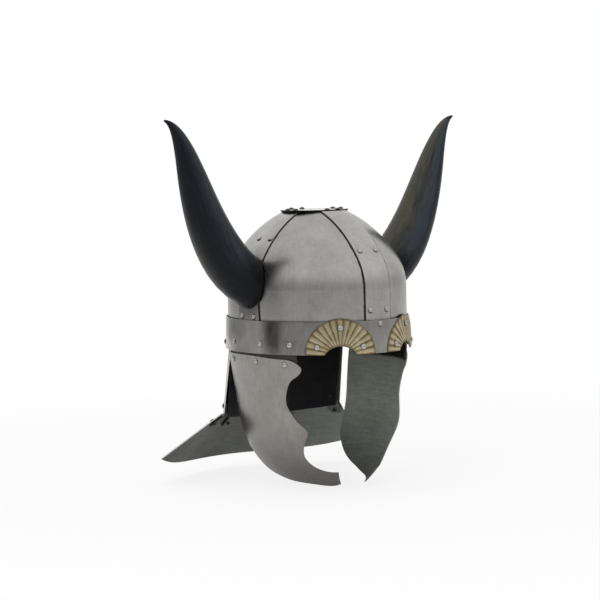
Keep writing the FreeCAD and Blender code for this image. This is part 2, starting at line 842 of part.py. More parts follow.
cheek_spots = cheek_rivet_spots()
cheek_plate = cheek_layer(0.0, sheet).common(cheek_outline())
cheek_plate = one(drilled(cheek_plate, cheek_spots))
save("cheek_plate_left", cheek_plate)
save("cheek_plate_right", mirrored(cheek_plate))

# Leather hinge strip: the upper leg lies inside the brow band, the lower leg inside the cheek plate
strip_rear = cheek_rear - strip_margin
upper_leg = dome_layer(level(3), strip_leather)
upper_leg = upper_leg.common(box(0, overrun, -strip_front, strip_rear, 0, strip_top))
lower_leg = cheek_layer(sheet + lap_gap, strip_leather)
lower_leg = lower_leg.common(box(0, overrun, -strip_front, strip_rear, -strip_drop, 0))
fold = cheek_layer(sheet + lap_gap, 2 * strip_leather)
fold = fold.common(box(0, overrun, -strip_front, strip_rear, 0, strip_leather))
strip = upper_leg.multiFuse([lower_leg, fold]).removeSplitter()
strip = one(drilled(strip, strip_spots[1] + cheek_spots))
save("cheek_strip_left", strip)
save("cheek_strip_right", mirrored(strip))

# Leather liner: a headband inside the dome wall, tongues that rise from it to a lace ring, and the lace
headband = dome_layer(level(3), liner_leather)
headband = headband.common(box(-overrun, overrun, -overrun, overrun, liner_low_z, liner_high_z))
save("liner_headband", one(drilled(headband, band_low_spots)))
tongue_depth = level(3) + liner_leather + lap_gap
tongue_faces = []
for depth in (tongue_depth, tongue_depth + liner_leather):
    top = liner_top_z + tongue_depth - depth
    arch = Arch(brow_half_length - depth, liner_high_z, top, liner_shoulder_radius, lace_ring_radius)
    tongue_faces.append(turned_dome(brow_half_width - depth, arch))
tongue_layer = tongue_faces[0].cut(tongue_faces[1])
tongue_layer = tongue_layer.common(box(-overrun, overrun, -overrun, overrun, tongue_low_z, overrun))
for index in range(tongue_count):
    finger = polygon_face([
        V(-tongue_half_high, -tongue_hole_radius, 0),
        V(tongue_half_high, -tongue_hole_radius, 0),
        V(tongue_half_low, -brow_half_length, 0),
        V(-tongue_half_low, -brow_half_length, 0),
    ]).extrude(V(0, 0, overrun))
    finger.rotate(V(0, 0, 0), V(0, 0, 1), 360.0 * (index + 0.5) / tongue_count)
    save("liner_tongue_" + str(index + 1), one(tongue_layer.common(finger)))
lace_z = liner_top_z + lace_gap + lace_radius
save("liner_lace", Part.makeTorus(lace_ring_radius, lace_radius, V(0, 0, lace_z)))

# Rivets, in groups that fasten the same pieces
save("crown_rivets", riveted(crown_spots, level(2) + sheet))
high_grip = level(1) + sheet
low_grip = high_grip + lap_gap + liner_leather
save("band_rivets_upper", riveted(band_high_spots, high_grip))
save("band_rivets_lower", riveted(band_low_spots, low_grip))
save("brow_rivets", riveted(brow_spots, level(2) + sheet))
fan_grip = lap_gap + fan_sheet + level(2) + sheet
save("fan_rivets", riveted(fan_spots[-1] + fan_spots[1], fan_grip))
strip_grip = level(3) + strip_leather
save("strip_rivets_left", riveted(strip_spots[1], strip_grip))
save("strip_rivets_right", riveted(strip_spots[-1], strip_grip))
neck_grip = level(3) + sheet + lap_gap + lining_leather
save("neck_rivets", riveted(neck_spots, neck_grip))
cheek_rivets = riveted(cheek_spots, sheet + lap_gap + strip_leather)
save("cheek_rivets_left", cheek_rivets)
save("cheek_rivets_right", mirrored(cheek_rivets))
save("tab_rivets", Part.makeCompound(tab_rivets))
flare_grip = sheet + tab_flare_gap + tab_leather + tab_gap
save("flare_rivets", riveted(flare_spots, flare_grip))
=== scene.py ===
import json
import math
import bpy
import bmesh
from mathutils import Matrix, Vector, noise


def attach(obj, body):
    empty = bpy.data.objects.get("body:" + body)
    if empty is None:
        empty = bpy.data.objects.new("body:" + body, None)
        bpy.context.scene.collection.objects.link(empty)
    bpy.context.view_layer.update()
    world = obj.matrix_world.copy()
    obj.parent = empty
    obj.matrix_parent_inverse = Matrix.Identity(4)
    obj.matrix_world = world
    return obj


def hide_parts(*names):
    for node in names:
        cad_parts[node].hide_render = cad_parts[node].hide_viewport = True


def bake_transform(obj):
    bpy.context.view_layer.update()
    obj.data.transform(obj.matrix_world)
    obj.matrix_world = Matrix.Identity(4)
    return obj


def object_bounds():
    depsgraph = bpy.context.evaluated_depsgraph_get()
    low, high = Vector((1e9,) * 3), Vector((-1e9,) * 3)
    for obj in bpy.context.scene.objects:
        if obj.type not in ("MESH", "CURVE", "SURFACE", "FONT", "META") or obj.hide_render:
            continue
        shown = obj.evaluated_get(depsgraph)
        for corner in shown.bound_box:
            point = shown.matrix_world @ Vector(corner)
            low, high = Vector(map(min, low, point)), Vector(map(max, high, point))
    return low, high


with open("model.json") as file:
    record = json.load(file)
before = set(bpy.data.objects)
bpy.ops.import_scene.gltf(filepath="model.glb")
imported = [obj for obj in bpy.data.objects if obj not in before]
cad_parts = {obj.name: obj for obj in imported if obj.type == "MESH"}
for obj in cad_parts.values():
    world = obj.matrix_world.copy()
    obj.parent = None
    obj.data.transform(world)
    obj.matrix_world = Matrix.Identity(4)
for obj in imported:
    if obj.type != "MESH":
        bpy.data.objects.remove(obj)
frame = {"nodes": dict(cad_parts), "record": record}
cad_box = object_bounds()

# Shapes below are worked out in millimetres and stored in metres
MM = 0.001
sides = ((1, "left"), (-1, "right"))

# Shell, as in the part's source: the outer face of the brow band, the arcs of the dome, and the
# thicknesses of steel and leather
brow_half_width = 98.0
brow_half_length = 118.0
brow_height = 36.5
brow_spread = 1.5
wall_rise = 34.5
dome_rise = 121.5
wall_z = brow_height + wall_rise
dome_top = brow_height + dome_rise
shoulder_turn = math.radians(35.2)
shoulder_radius = 56.2
flat_length = 42.0
sheet = 1.2
hide = 2.0
lap_gap = 0.15
level_1 = sheet + lap_gap
level_2 = 2 * level_1
level_3 = 3 * level_1

# Modelled skins stand off their neighbours and are a little thinner than the leather they stand for
skin_gap = 0.05
skin_trim = 0.15
skin_edge = 0.5


def spread_at(z):
    return max(0.0, brow_spread * (brow_height - z) / brow_height)


def leg(longest, other):
    # The third side of a right-angled triangle
    return math.sqrt(max(longest ** 2 - other ** 2, 0.0))


class Arch:
    # Upright section of a dome: a straight wall, a shoulder arc, a crown arc and a flat top
    def __init__(self, half_length, wall, top, shoulder, flat):
        out_x = math.cos(shoulder_turn)
        out_z = math.sin(shoulder_turn)
        self.half_length = half_length
        self.wall = wall
        self.top = top
        self.shoulder = shoulder
        self.flat = flat
        self.knee_x = half_length - shoulder + shoulder * out_x
        self.knee_z = wall + shoulder * out_z
        span_x = flat - self.knee_x
        span_z = top - self.knee_z
        self.crown = -(span_x ** 2 + span_z ** 2) / (2 * (span_x * out_x + span_z * out_z))
        self.crown_x = self.knee_x - out_x * self.crown
        self.crown_z = self.knee_z - out_z * self.crown

    def share(self, z):
        # Share of the full plan size at a height
        if z <= self.wall:
            return 1.0
        if z < self.knee_z:
            reach = self.half_length - self.shoulder + leg(self.shoulder, z - self.wall)
        else:
            reach = self.crown_x + leg(self.crown, z - self.crown_z)
        return reach / self.half_length

    def height(self, share):
        # Height of the arcs at a share of the full plan size
        reach = min(share, 1.0) * self.half_length
        if reach < self.flat:
            return self.top
        if reach < self.knee_x:
            return self.crown_z + leg(self.crown, reach - self.crown_x)
        side = reach - self.half_length + self.shoulder
        return self.wall + leg(self.shoulder, side)


def oval_spot(half_width, half_length, turn, z):
    # A point on an oval at a turn from the front
    return Vector((half_width * math.sin(turn), -half_length * math.cos(turn), z))


def plan_out(spot, half_width, half_length):
    # The way straight out of an oval in plan
    return Vector((spot.x / half_width ** 2, spot.y / half_length ** 2, 0)).normalized()


def dome_arch(depth):
    return Arch(brow_half_length - depth, wall_z, dome_top - depth, shoulder_radius, flat_length)


def wall_point(angle, z, depth):
    # A point at a depth inside the brow's and the dome's outer face, and the way outward in plan
    arch = dome_arch(depth)
    half_length = arch.half_length + spread_at(z)
    half_width = half_length * (brow_half_width - depth) / arch.half_length
    share = arch.share(z)
    spot = oval_spot(half_width * share, half_length * share, math.radians(angle), z)
    return spot, plan_out(spot, half_width, half_length)


def ease(low, high, value):
    # A share that eases from 0 at one value to 1 at another
    share = min(max((value - low) / (high - low), 0.0), 1.0)
    return share * share * (3 - 2 * share)


def shares(count):
    # Even steps from 0 to 1
    return [index / (count - 1) for index in range(count)]


def runs(count):
    # Even steps from -1 to 1
    return [2.0 * index / (count - 1) - 1.0 for index in range(count)]


def turns(count):
    # Even turns of a whole circle, from 0
    return [2 * math.pi * index / count for index in range(count)]


def ripple(spot, size):
    # Smooth noise between -1 and 1 over features of a size in millimetres
    return noise.noise(spot / size)


def placed(name, data):
    # A mesh, curve, lamp or camera becomes an object in the scene
    obj = bpy.data.objects.new(name, data)
    bpy.context.scene.collection.objects.link(obj)
    return obj


def smoothed(mesh):
    mesh.polygons.foreach_set("use_smooth", [True] * len(mesh.polygons))
    return mesh


def make_object(name, vertices, faces):
    mesh = bpy.data.meshes.new(name)
    mesh.from_pydata([Vector(v) * MM for v in vertices], [], faces)
    mesh.validate()
    return placed(name, smoothed(mesh))


def grid_faces(rows, columns, closed=False, offset=0):
    faces = []
    last = columns if closed else columns - 1
    for i in range(rows - 1):
        for j in range(last):
            a = offset + i * columns + j
            b = offset + i * columns + (j + 1) % columns
            faces.append((a, b, b + columns, a + columns))
    return faces


def reworked(obj, work):
    # Run an operation on an object's mesh
    bm = bmesh.new()
    bm.from_mesh(obj.data)
    work(bm)
    bm.to_mesh(obj.data)
    bm.free()
    return obj


def store_vectors(obj, name, vectors):
    # A vector at each point, for the material to read
    data = obj.data.attributes.new(name, "FLOAT_VECTOR", "POINT")
    data.data.foreach_set("vector", [number for vector in vectors for number in vector])


def evaluated(obj):
    # The object as plain mesh, its modifiers applied
    graph = bpy.context.evaluated_depsgraph_get()
    return bpy.data.meshes.new_from_object(obj.evaluated_get(graph))


def skin(name, vertices, columns, thickness=hide - skin_trim, edge=skin_edge, closed=False):
    # A sheet from rows of points, given its thickness to both sides, with rounded edges
    obj = make_object(name, vertices, grid_faces(len(vertices) // columns, columns, closed))
    solid = obj.modifiers.new("thickness", "SOLIDIFY")
    solid.thickness = thickness * MM
    solid.offset = 0.0
    solid.use_even_offset = True
    bevel = obj.modifiers.new("edge", "BEVEL")
    bevel.width = edge * MM
    bevel.segments = 3
    bevel.limit_method = "ANGLE"
    bevel.angle_limit = math.radians(50)
    mesh = evaluated(obj)
    obj.modifiers.clear()
    obj.data = mesh
    return obj


def joined(name, pieces):
    # Several meshes become one object
    mesh = bmesh.new()
    for piece in pieces:
        mesh.from_mesh(piece.data)
        data = piece.data
        bpy.data.objects.remove(piece)
        bpy.data.meshes.remove(data)
    out = bpy.data.meshes.new(name)
    mesh.to_mesh(out)
    mesh.free()
    return placed(name, smoothed(out))


# Materials

noise_low = 0.3
noise_high = 0.7
horn_seat_z = 0.072
finishes = {}


class Nodes:
    # A material's node tree, with short ways to add and link nodes
    def __init__(self, name):
        self.material = bpy.data.materials.new(name)
        self.material.use_nodes = True
        finishes[name] = self.material
        self.tree = self.material.node_tree
        self.shader = self.tree.nodes["Principled BSDF"]
        coordinates = self.add("ShaderNodeTexCoord")
        self.place = coordinates.outputs["Object"]
        self.facing = coordinates.outputs["Normal"]

    def feed(self, value, socket):
        # Another node's socket, a number, a vector or a colour goes into an input
        if isinstance(value, bpy.types.NodeSocket):
            self.tree.links.new(value, socket)
        elif socket.type == "RGBA":
            socket.default_value = (*value, 1.0)
        else:
            socket.default_value = value

    def add(self, kind, **values):
        # Names with a capital letter are inputs, the others are settings and come first
        node = self.tree.nodes.new(kind)
        for key, value in values.items():
            if key[0].isupper():
                self.feed(value, node.inputs[key])
            else:
                setattr(node, key, value)
        return node

    def put(self, name, value):
        self.feed(value, self.shader.inputs[name])

    def surface(self, shader):
        # The shader goes to the material's output
        self.feed(shader, self.tree.nodes["Material Output"].inputs["Surface"])

    def stretched(self, scale, place=None):
        return self.add("ShaderNodeMapping", Scale=scale, Vector=place or self.place).outputs["Vector"]

    def noise(self, scale, detail=4.0, rough=0.55, warp=0.0, place=None):
        # A scale of three numbers gives streaks along the axis of the smallest
        if isinstance(scale, tuple):
            place = self.stretched(scale, place)
            scale = 1.0
        node = self.add("ShaderNodeTexNoise", Scale=scale, Detail=detail, Roughness=rough, Distortion=warp,
                        Vector=place or self.place)
        return node.outputs["Fac"]

    def cells(self, scale):
        node = self.add("ShaderNodeTexVoronoi", feature="DISTANCE_TO_EDGE", Scale=scale, Vector=self.place)
        return node.outputs["Distance"]

    def ramp(self, value, stops):
        node = self.add("ShaderNodeValToRGB", Fac=value)
        band = node.color_ramp
        while len(band.elements) < len(stops):
            band.elements.new(0.5)
        for element, (spot, colour) in zip(band.elements, stops):
            element.position = spot
            element.color = (*colour, 1.0)
        return node.outputs["Color"]

    def range(self, value, low, high, out_low=0.0, out_high=1.0):
        node = self.add("ShaderNodeMapRange", Value=value)
        numbers = {"From Min": low, "From Max": high, "To Min": out_low, "To Max": out_high}
        for name, number in numbers.items():
            self.feed(number, node.inputs[name])
        return node.outputs["Result"]

    def spread(self, value, out_low, out_high):
        # The part of a noise that its values mostly fill, spread over a range
        return self.range(value, noise_low, noise_high, out_low, out_high)

    def math(self, operation, a, b=0.0):
        node = self.add("ShaderNodeMath", operation=operation)
        self.feed(a, node.inputs[0])
        self.feed(b, node.inputs[1])
        return node.outputs[0]

    def times(self, a, b):
        return self.math("MULTIPLY", a, b)

    def plus(self, a, b):
        return self.math("ADD", a, b)

    def mix(self, share, a, b, blend="MIX"):
        node = self.add("ShaderNodeMix", data_type="RGBA", blend_type=blend)
        for index, value in ((0, share), (6, a), (7, b)):
            self.feed(value, node.inputs[index])
        return node.outputs[2]

    def bump(self, height, strength, distance, normal=None):
        node = self.add("ShaderNodeBump", Strength=strength, Distance=distance, Height=height)
        if normal is not None:
            self.feed(normal, node.inputs["Normal"])
        return node.outputs["Normal"]

    def soft_edge(self, radius):
        return self.add("ShaderNodeBevel", samples=4, Radius=radius).outputs["Normal"]

    def split(self, vector):
        # The sockets of a vector's three parts
        return self.add("ShaderNodeSeparateXYZ", Vector=vector).outputs

    def dot(self, a, b):
        node = self.add("ShaderNodeVectorMath", operation="DOT_PRODUCT")
        self.feed(a, node.inputs[0])
        self.feed(b, node.inputs[1])
        return node.outputs["Value"]

    def horn_distance(self, apart):
        # Distance from the nearer horn's root, in the plane of the side band
        high = self.math("SUBTRACT", apart["Z"], horn_seat_z)
        squares = self.plus(self.times(apart["Y"], apart["Y"]), self.times(high, high))
        return self.math("SQRT", squares)

    def crevice(self, distance):
        # Ambient occlusion for painted shade: 1 on open faces and towards 0 deep in a corner
        return self.add("ShaderNodeAmbientOcclusion", samples=6, Distance=distance).outputs["AO"]


# Bare inside faces: how metallic, how shiny and how much rougher than the polished outside, and the
# limits by which a face counts as inside or as a cut edge
bare_metal = 0.15
bare_shine = 0.12
clean_shine = 0.5
bare_rough = 0.2
inside_limit = -0.012
edge_near = 0.008
edge_far = 0.02


def steel(name, clean, stained, rough=(0.24, 0.36), wave=0.0005, raw=1.0, low_darkening=0.0, root_shade=0.0,
          hanging=False, edge_shade=False, rivet_rim_shade=False, lean=0.0, edge_highlight=False):
    # Hand-finished sheet steel: clean and stained tones, fine scratches, a slow wave from the hammer, and
    # painted shade in crevices.
    # Faces that look towards the middle of the helmet are left unpolished and dark.
    n = Nodes(name)
    blotch = n.noise(24.0, 5.0, 0.6, warp=0.4)
    tint = n.mix(n.range(blotch, 0.40, 0.75), clean, stained)
    brushed = n.noise((420.0, 420.0, 60.0), 5.0, 0.7)
    speckle = n.noise(850.0, 3.0, 0.7)
    shade = n.plus(n.spread(brushed, -0.08, 0.08), n.spread(speckle, -0.05, 0.05))
    shade = n.plus(shade, n.spread(n.noise(130.0, 4.0, 0.6), 0.95, 1.05))
    apart = n.split(n.place)
    # Darker towards the bottom edge
    if low_darkening:
        shade = n.times(shade, n.range(apart["Z"], -0.160, -0.075, 1.0 - low_darkening, 1.0))
    # Painted shade: darker near the horn's root, for the horn's shadow
    if root_shade:
        near_root = n.range(n.horn_distance(apart), 0.026, 0.052, 1.0 - root_shade, 1.0)
        shade = n.times(shade, near_root)
    rubbed = n.noise((45.0, 45.0, 420.0), 5.0, 0.65, warp=0.3)
    scale = n.plus(n.times(rubbed, 0.6), n.times(n.noise(14.0, 4.0), 0.4))
    stops = ((0.32, (0.072, 0.075, 0.066)), (0.5, (0.102, 0.107, 0.094)), (0.68, (0.132, 0.136, 0.120)))
    bare = n.ramp(scale, [(spot, tuple(raw * c for c in tone)) for spot, tone in stops])
    if lean:
        # Painted shade and light: the inside is darker on the wearer's right and paler on the left, as the
        # light falls
        side_shade = n.range(apart["X"], -0.10, 0.08, 1.0 - lean, 1.0 + 2 * lean)
        shade = n.times(shade, side_shade)
    facing = n.dot(n.stretched((1.0, 1.0, 0.0)) if hanging else n.place, n.facing)
    inside = n.math("LESS_THAN", facing, inside_limit)
    surface = n.mix(inside, tint, bare)
    grey = n.add("ShaderNodeCombineXYZ", X=shade, Y=shade, Z=shade)
    surface = n.mix(1.0, surface, grey.outputs[0], "MULTIPLY")
    # Painted shade: corners and gaps are darkened by ambient occlusion
    crevice_shade = n.range(n.crevice(0.0038), 0.45, 0.93)
    dark = tuple(0.16 * c for c in stained)
    surface = n.mix(crevice_shade, dark, surface)
    # Painted shade: faces that stand upright, such as the plate's edge, are painted near black
    if edge_shade:
        flat_share = n.range(n.math("ABSOLUTE", n.split(n.facing)["Z"]), 0.4, 0.8)
        surface = n.mix(flat_share, (0.006, 0.006, 0.006), surface)
    # Painted shade: faces of a rivet head that turn away from the outside are painted near black, as a
    # shadow round the head
    if rivet_rim_shade:
        outward = n.add("ShaderNodeVectorMath", operation="NORMALIZE", Vector=n.place)
        top_share = n.range(n.dot(outward.outputs["Vector"], n.facing), 0.45, 0.82)
        surface = n.mix(top_share, (0.02, 0.019, 0.018), surface)
    metal = n.range(inside, 0.0, 1.0, 1.0, bare_metal)
    if edge_highlight:
        # Painted highlight: the cut edges of the sheet are painted pale and less metallic, for the bright
        # line along them
        aside = n.math("ABSOLUTE", facing)
        edge_share = n.range(aside, edge_near, edge_far, 1.0, 0.0)
        surface = n.mix(edge_share, surface, (0.78, 0.78, 0.76))
        metal = n.times(metal, n.range(aside, edge_near, edge_far, 0.3, 1.0))
    n.put("Base Color", surface)
    n.put("Metallic", metal)
    n.put("Specular IOR Level", n.range(inside, 0.0, 1.0, clean_shine, bare_shine))
    streak = n.noise((260.0, 260.0, 2600.0), 3.0, 0.6)
    cross = n.noise((1900.0, 1900.0, 170.0), 3.0, 0.6)
    grain = n.plus(streak, cross)
    worn = n.plus(n.spread(n.noise(55.0, 4.0), *rough), n.range(grain, 0.6, 1.4, -0.03, 0.05))
    n.put("Roughness", n.plus(worn, n.times(inside, bare_rough)))
    slow = n.bump(n.noise(20.0, 1.5, 0.4), 1.0, wave, n.soft_edge(0.0004))
    n.put("Normal", n.bump(grain, 0.25, 0.00001, slow))


def brass():
    # Fluted brass: bright on the ridges, brown and dull in the flutes and at the edge, with painted shade in
    # corners
    n = Nodes("aged_brass")
    ridge = n.add("ShaderNodeAttribute", attribute_name="ridge").outputs["Fac"]
    patch = n.noise(90.0, 5.0, 0.6)
    level = n.plus(ridge, n.spread(patch, -0.28, 0.28))
    tone = n.ramp(level, ((0.0, (0.155, 0.115, 0.060)), (0.35, (0.27, 0.215, 0.125)),
                          (0.65, (0.38, 0.32, 0.205)), (1.0, (0.47, 0.415, 0.29))))
    # Painted shade: corners are darkened to brown by ambient occlusion
    crevice_shade = n.range(n.crevice(0.002), 0.2, 0.7)
    n.put("Base Color", n.mix(crevice_shade, (0.10, 0.068, 0.034), tone))
    n.put("Metallic", 1.0)
    n.put("Roughness", n.range(level, 0.0, 1.0, 0.52, 0.27))
    n.put("Normal", n.bump(n.noise(1400.0, 3.0), 0.4, 0.00002))


def horn_stuff():
    # Polished dark horn: long fibres, olive towards the crown, slate blue in front, navy on the outside; the
    # olive and slate are partly painted highlights, and black at the root is painted shade
    n = Nodes("polished_horn")
    place = n.add("ShaderNodeAttribute", attribute_name="fibre").outputs["Vector"]
    bands = n.split(n.add("ShaderNodeAttribute", attribute_name="tint").outputs["Vector"])
    broad = n.noise((1.3, 1.3, 0.5), 4.0, 0.55, warp=0.5, place=place)
    fine = n.noise((11.0, 11.0, 1.3), 6.0, 0.65, place=place)
    hair = n.noise((60.0, 60.0, 3.0), 3.0, 0.7, place=place)
    patch = n.plus(n.spread(broad, -0.35, 0.35), n.spread(fine, 0.35, 1.3))
    olive = n.times(bands["X"], patch)
    slate = n.times(bands["Y"], patch)
    tone = n.ramp(fine, ((0.35, (0.003, 0.004, 0.007)), (0.65, (0.008, 0.010, 0.015))))
    tone = n.mix(slate, tone, (0.034, 0.045, 0.056))
    tone = n.mix(olive, tone, (0.068, 0.065, 0.050))
    tone = n.mix(n.range(hair, 0.35, 0.7, 0.0, 0.35), tone, (0.012, 0.013, 0.015))
    # The black weight: painted shade at the root, the horn's own black at the tip
    tone = n.mix(bands["Z"], tone, (0.004, 0.004, 0.005))
    n.put("Base Color", tone)
    n.put("Roughness", n.spread(fine, 0.24, 0.4))
    n.put("Specular IOR Level", 0.1)
    n.put("Normal", n.bump(n.plus(hair, n.times(fine, 2.0)), 0.3, 0.00012))


def leather(name, dark, light, rough=(0.42, 0.6), grain=1900.0, depth=0.00007, gloss=0.42):
    # Leather: pebbled grain with creases, paler where it is rubbed
    n = Nodes(name)
    rub = n.noise(60.0, 5.0, 0.6)
    n.put("Base Color", n.mix(n.range(rub, 0.42, 0.72), dark, light))
    n.put("Roughness", n.spread(n.noise(240.0, 3.0), *rough))
    n.put("Specular IOR Level", gloss)
    pebble = n.cells(grain)
    crease = n.noise((150.0, 150.0, 60.0), 5.0, 0.6, warp=1.2)
    first = n.bump(pebble, 0.5, depth)
    n.put("Normal", n.bump(crease, 0.5, 0.0004, first))


def wood():
    # Turned plug: rings and pores
    n = Nodes("plug_wood")
    wave = n.add("ShaderNodeTexWave", wave_type="RINGS", rings_direction="X", Scale=60.0, Distortion=3.0,
                 Vector=n.place)
    n.put("Base Color", n.mix(wave.outputs["Fac"], (0.42, 0.27, 0.14), (0.25, 0.15, 0.07)))
    pores = n.noise((120.0, 1500.0, 1500.0), 4.0, 0.6)
    n.put("Roughness", n.spread(pores, 0.55, 0.75))
    n.put("Normal", n.bump(pores, 0.4, 0.0001))


steel("dome_steel", (0.38, 0.375, 0.36), (0.32, 0.31, 0.29), rough=(0.24, 0.32), root_shade=0.2)
steel("band_steel", (0.41, 0.405, 0.39), (0.34, 0.33, 0.31), rough=(0.20, 0.28), root_shade=0.65)
steel("crown_steel", (0.46, 0.455, 0.44), (0.40, 0.39, 0.37), rough=(0.12, 0.2), edge_shade=True)
steel("brow_steel", (0.37, 0.365, 0.35), (0.29, 0.275, 0.25), rough=(0.11, 0.18), wave=0.0011)
steel("cheek_steel", (0.30, 0.285, 0.27), (0.25, 0.235, 0.215), rough=(0.28, 0.38), wave=0.0008, raw=4.6,
      low_darkening=0.75, hanging=True)
steel("guard_steel", (0.30, 0.295, 0.28), (0.23, 0.22, 0.20), wave=0.0007, raw=1.15, hanging=True,
      lean=0.45, edge_highlight=True)
steel("rivet_steel", (0.46, 0.45, 0.43), (0.34, 0.325, 0.30), rough=(0.2, 0.3), wave=0.0001, raw=0.3,
      rivet_rim_shade=True)
steel("dark_rivet_steel", (0.10, 0.098, 0.094), (0.06, 0.058, 0.054), wave=0.0001, raw=0.3)
steel("screw_steel", (0.40, 0.40, 0.39), (0.30, 0.28, 0.25), rough=(0.35, 0.5), wave=0.0001)
brass()
horn_stuff()
leather("hinge_leather", (0.012, 0.011, 0.010), (0.035, 0.030, 0.026))
leather("lining_leather", (0.0035, 0.0035, 0.0055), (0.009, 0.009, 0.012), gloss=0.18)
leather("liner_leather", (0.050, 0.032, 0.020), (0.105, 0.068, 0.042), rough=(0.6, 0.8))
leather("lace_leather", (0.030, 0.020, 0.014), (0.060, 0.042, 0.030))
leather("waxed_thread", (0.20, 0.16, 0.11), (0.32, 0.27, 0.20), grain=5200.0, depth=0.00002)
leather("seam_black", (0.006, 0.006, 0.007), (0.016, 0.016, 0.016), rough=(0.5, 0.7), grain=2600.0)
wood()

# A slot's finish has the slot's name, apart from these slots and nodes
slot_finishes = {"brass": "aged_brass", "horn": "polished_horn"}
node_finishes = {
    "brow_band": "brow_steel", "crown_plate": "crown_steel", "crown_rivets": "dark_rivet_steel",
    "cheek_plate_left": "cheek_steel", "cheek_plate_right": "cheek_steel", "tab_rivets": "dark_rivet_steel",
}


def give_finish(obj, slot, finish=None):
    obj.data.materials.clear()
    obj.data.materials.append(finishes[finish or slot_finishes.get(slot, slot)])


for part in frame["record"]["subparts"]:
    give_finish(frame["nodes"][part["node"]], part["material_slot"], node_finishes.get(part["node"]))


def dressed(obj, body, slot, *nodes, finish=None):
    # Give a modelled piece the finish for its slot, hide the nodes that it stands for and attach it to its
    # body
    give_finish(obj, slot, finish)
    if nodes:
        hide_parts(*nodes)
    if body:
        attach(obj, body)
    return obj


# Horns

horn_root = Vector((90.3, 0.0, 77.1))
horn_reach = 114.0
horn_rise = 184.8
horn_lean = 5.0
horn_path = ((0.0, 0.0, 0.0), (0.687, 0.228, 0.0), (0.667, 0.948, 1.0), (1.0, 1.0, 1.0))
horn_radii = (28.0, 29.4, 11.76, 1.26)
horn_tail = 14.0
horn_seat_depth = 1.05
horn_root_rows = 10
horn_step = 0.003
horn_shrink = 0.25
horn_halvings = 24
weld_distance = 0.00001


def bezier(share):
    return ((1 - share) ** 3, 3 * share * (1 - share) ** 2, 3 * share ** 2 * (1 - share), share ** 3)


def horn_station(share):
    weights = bezier(share)
    out, up, lean = (sum(w * p[k] for w, p in zip(weights, horn_path)) for k in range(3))
    radius = sum(w * r for w, r in zip(weights, horn_radii))
    return horn_root + Vector((horn_reach * out, -horn_lean * lean, horn_rise * up)), radius


def on_shell(spot):
    # Below 1 inside the seat of the horns on the side bands, above 1 outside it
    arch = dome_arch(horn_seat_depth)
    across = spot.x / (brow_half_width - horn_seat_depth)
    return math.hypot(across, spot.y / arch.half_length) / arch.share(min(spot.z, arch.top))


def horn_tint_highlight_shade(turn, share, pale):
    # How olive, slate blue and black the horn is, by the turn round it and the share of its length. The
    # olive and slate are partly the horn's own streaks and partly painted highlights, and pale scales them;
    # the black is painted shade at the root and the horn's own colour at the tip.
    angle = (math.degrees(turn) + 180.0) % 360.0 - 180.0
    olive = math.exp(-((angle + 10.0) / 38.0) ** 2)
    under = (angle - 176.0 + 180.0) % 360.0 - 180.0
    olive += 1.1 * math.exp(-(under / 26.0) ** 2) * math.exp(-((share - 0.22) / 0.12) ** 2)
    slate = math.exp(-((angle + 78.0) / 24.0) ** 2) * ease(0.08, 0.2, share)
    # Painted shade near the root, and the horn's own black at the tip
    black = 0.75 * (1 - ease(0.02, 0.14, share)) + ease(0.88, 0.98, share)
    return Vector((min(olive * pale, 1.6), slate * pale, min(black, 1.0)))


def make_horn(side, name, seed, pale):
    rows = 170
    columns = 96
    vertices = []
    fibre = []
    tints = []
    travelled = 0.0
    before = None
    for i in range(rows + 1):
        share = max(i - horn_root_rows, 0) / (rows - horn_root_rows)
        spot, radius = horn_station(share)
        ahead = horn_station(min(share + horn_step, 1.0))[0]
        behind = horn_station(max(share - horn_step, 0.0))[0]
        way = (ahead - behind).normalized()
        if i < horn_root_rows:
            spot = spot - way * horn_tail * (horn_root_rows - i) / horn_root_rows
        if before is not None:
            travelled += (spot - before).length
        before = spot
        side_way = way.cross(Vector((0, 1, 0))).normalized()
        fore_way = side_way.cross(way).normalized()
        ring_depth = 0.22 * (1 - ease(30.0, 110.0, travelled))
        wobble = 0.35 * noise.noise(Vector((travelled / 9.0, seed, 0.0)))
        ring = ring_depth * (0.5 * math.sin(travelled / 2.1 + 3.0 * wobble) + wobble)
        for turn in turns(columns):
            flat = Vector((math.cos(turn), math.sin(turn), travelled / 30.0 + seed))
            rough = 0.3 * noise.noise(Vector((2.0 * flat.x, 2.0 * flat.y, travelled / 45.0 + seed)))
            facet = 0.12 * noise.noise(Vector((9.0 * flat.x, 9.0 * flat.y, travelled / 60.0 + seed)))
            reach = radius + min(ring + rough + facet, 0.5) * min(radius / 12.0, 1.0) - horn_shrink
            point = spot + side_way * (reach * math.cos(turn)) + fore_way * (reach * math.sin(turn))
            vertices.append(point)
            fibre.append(flat)
            tints.append(horn_tint_highlight_shade(turn, share, pale))
    # The root follows the shell: points inside it slide out along the horn
    for j in range(columns):
        outside = next(i for i in range(rows) if on_shell(vertices[i * columns + j]) > 1.0)
        if outside == 0:
            continue
        low = vertices[(outside - 1) * columns + j]
        high = vertices[outside * columns + j]
        for _ in range(horn_halvings):
            middle = (low + high) / 2
            if on_shell(middle) > 1.0:
                high = middle
            else:
                low = middle
        for i in range(outside):
            vertices[i * columns + j] = high.copy()
            fibre[i * columns + j] = fibre[outside * columns + j]
    if side < 0:
        vertices = [Vector((-v.x, v.y, v.z)) for v in vertices]
    faces = grid_faces(rows + 1, columns, closed=True)
    faces.append(tuple(range(rows * columns, (rows + 1) * columns)))
    if side < 0:
        faces = [tuple(reversed(face)) for face in faces]
    obj = make_object(name, vertices, faces)
    store_vectors(obj, "fibre", fibre)
    store_vectors(obj, "tint", tints)
    return reworked(obj, lambda bm: bmesh.ops.remove_doubles(bm, verts=bm.verts, dist=weld_distance))


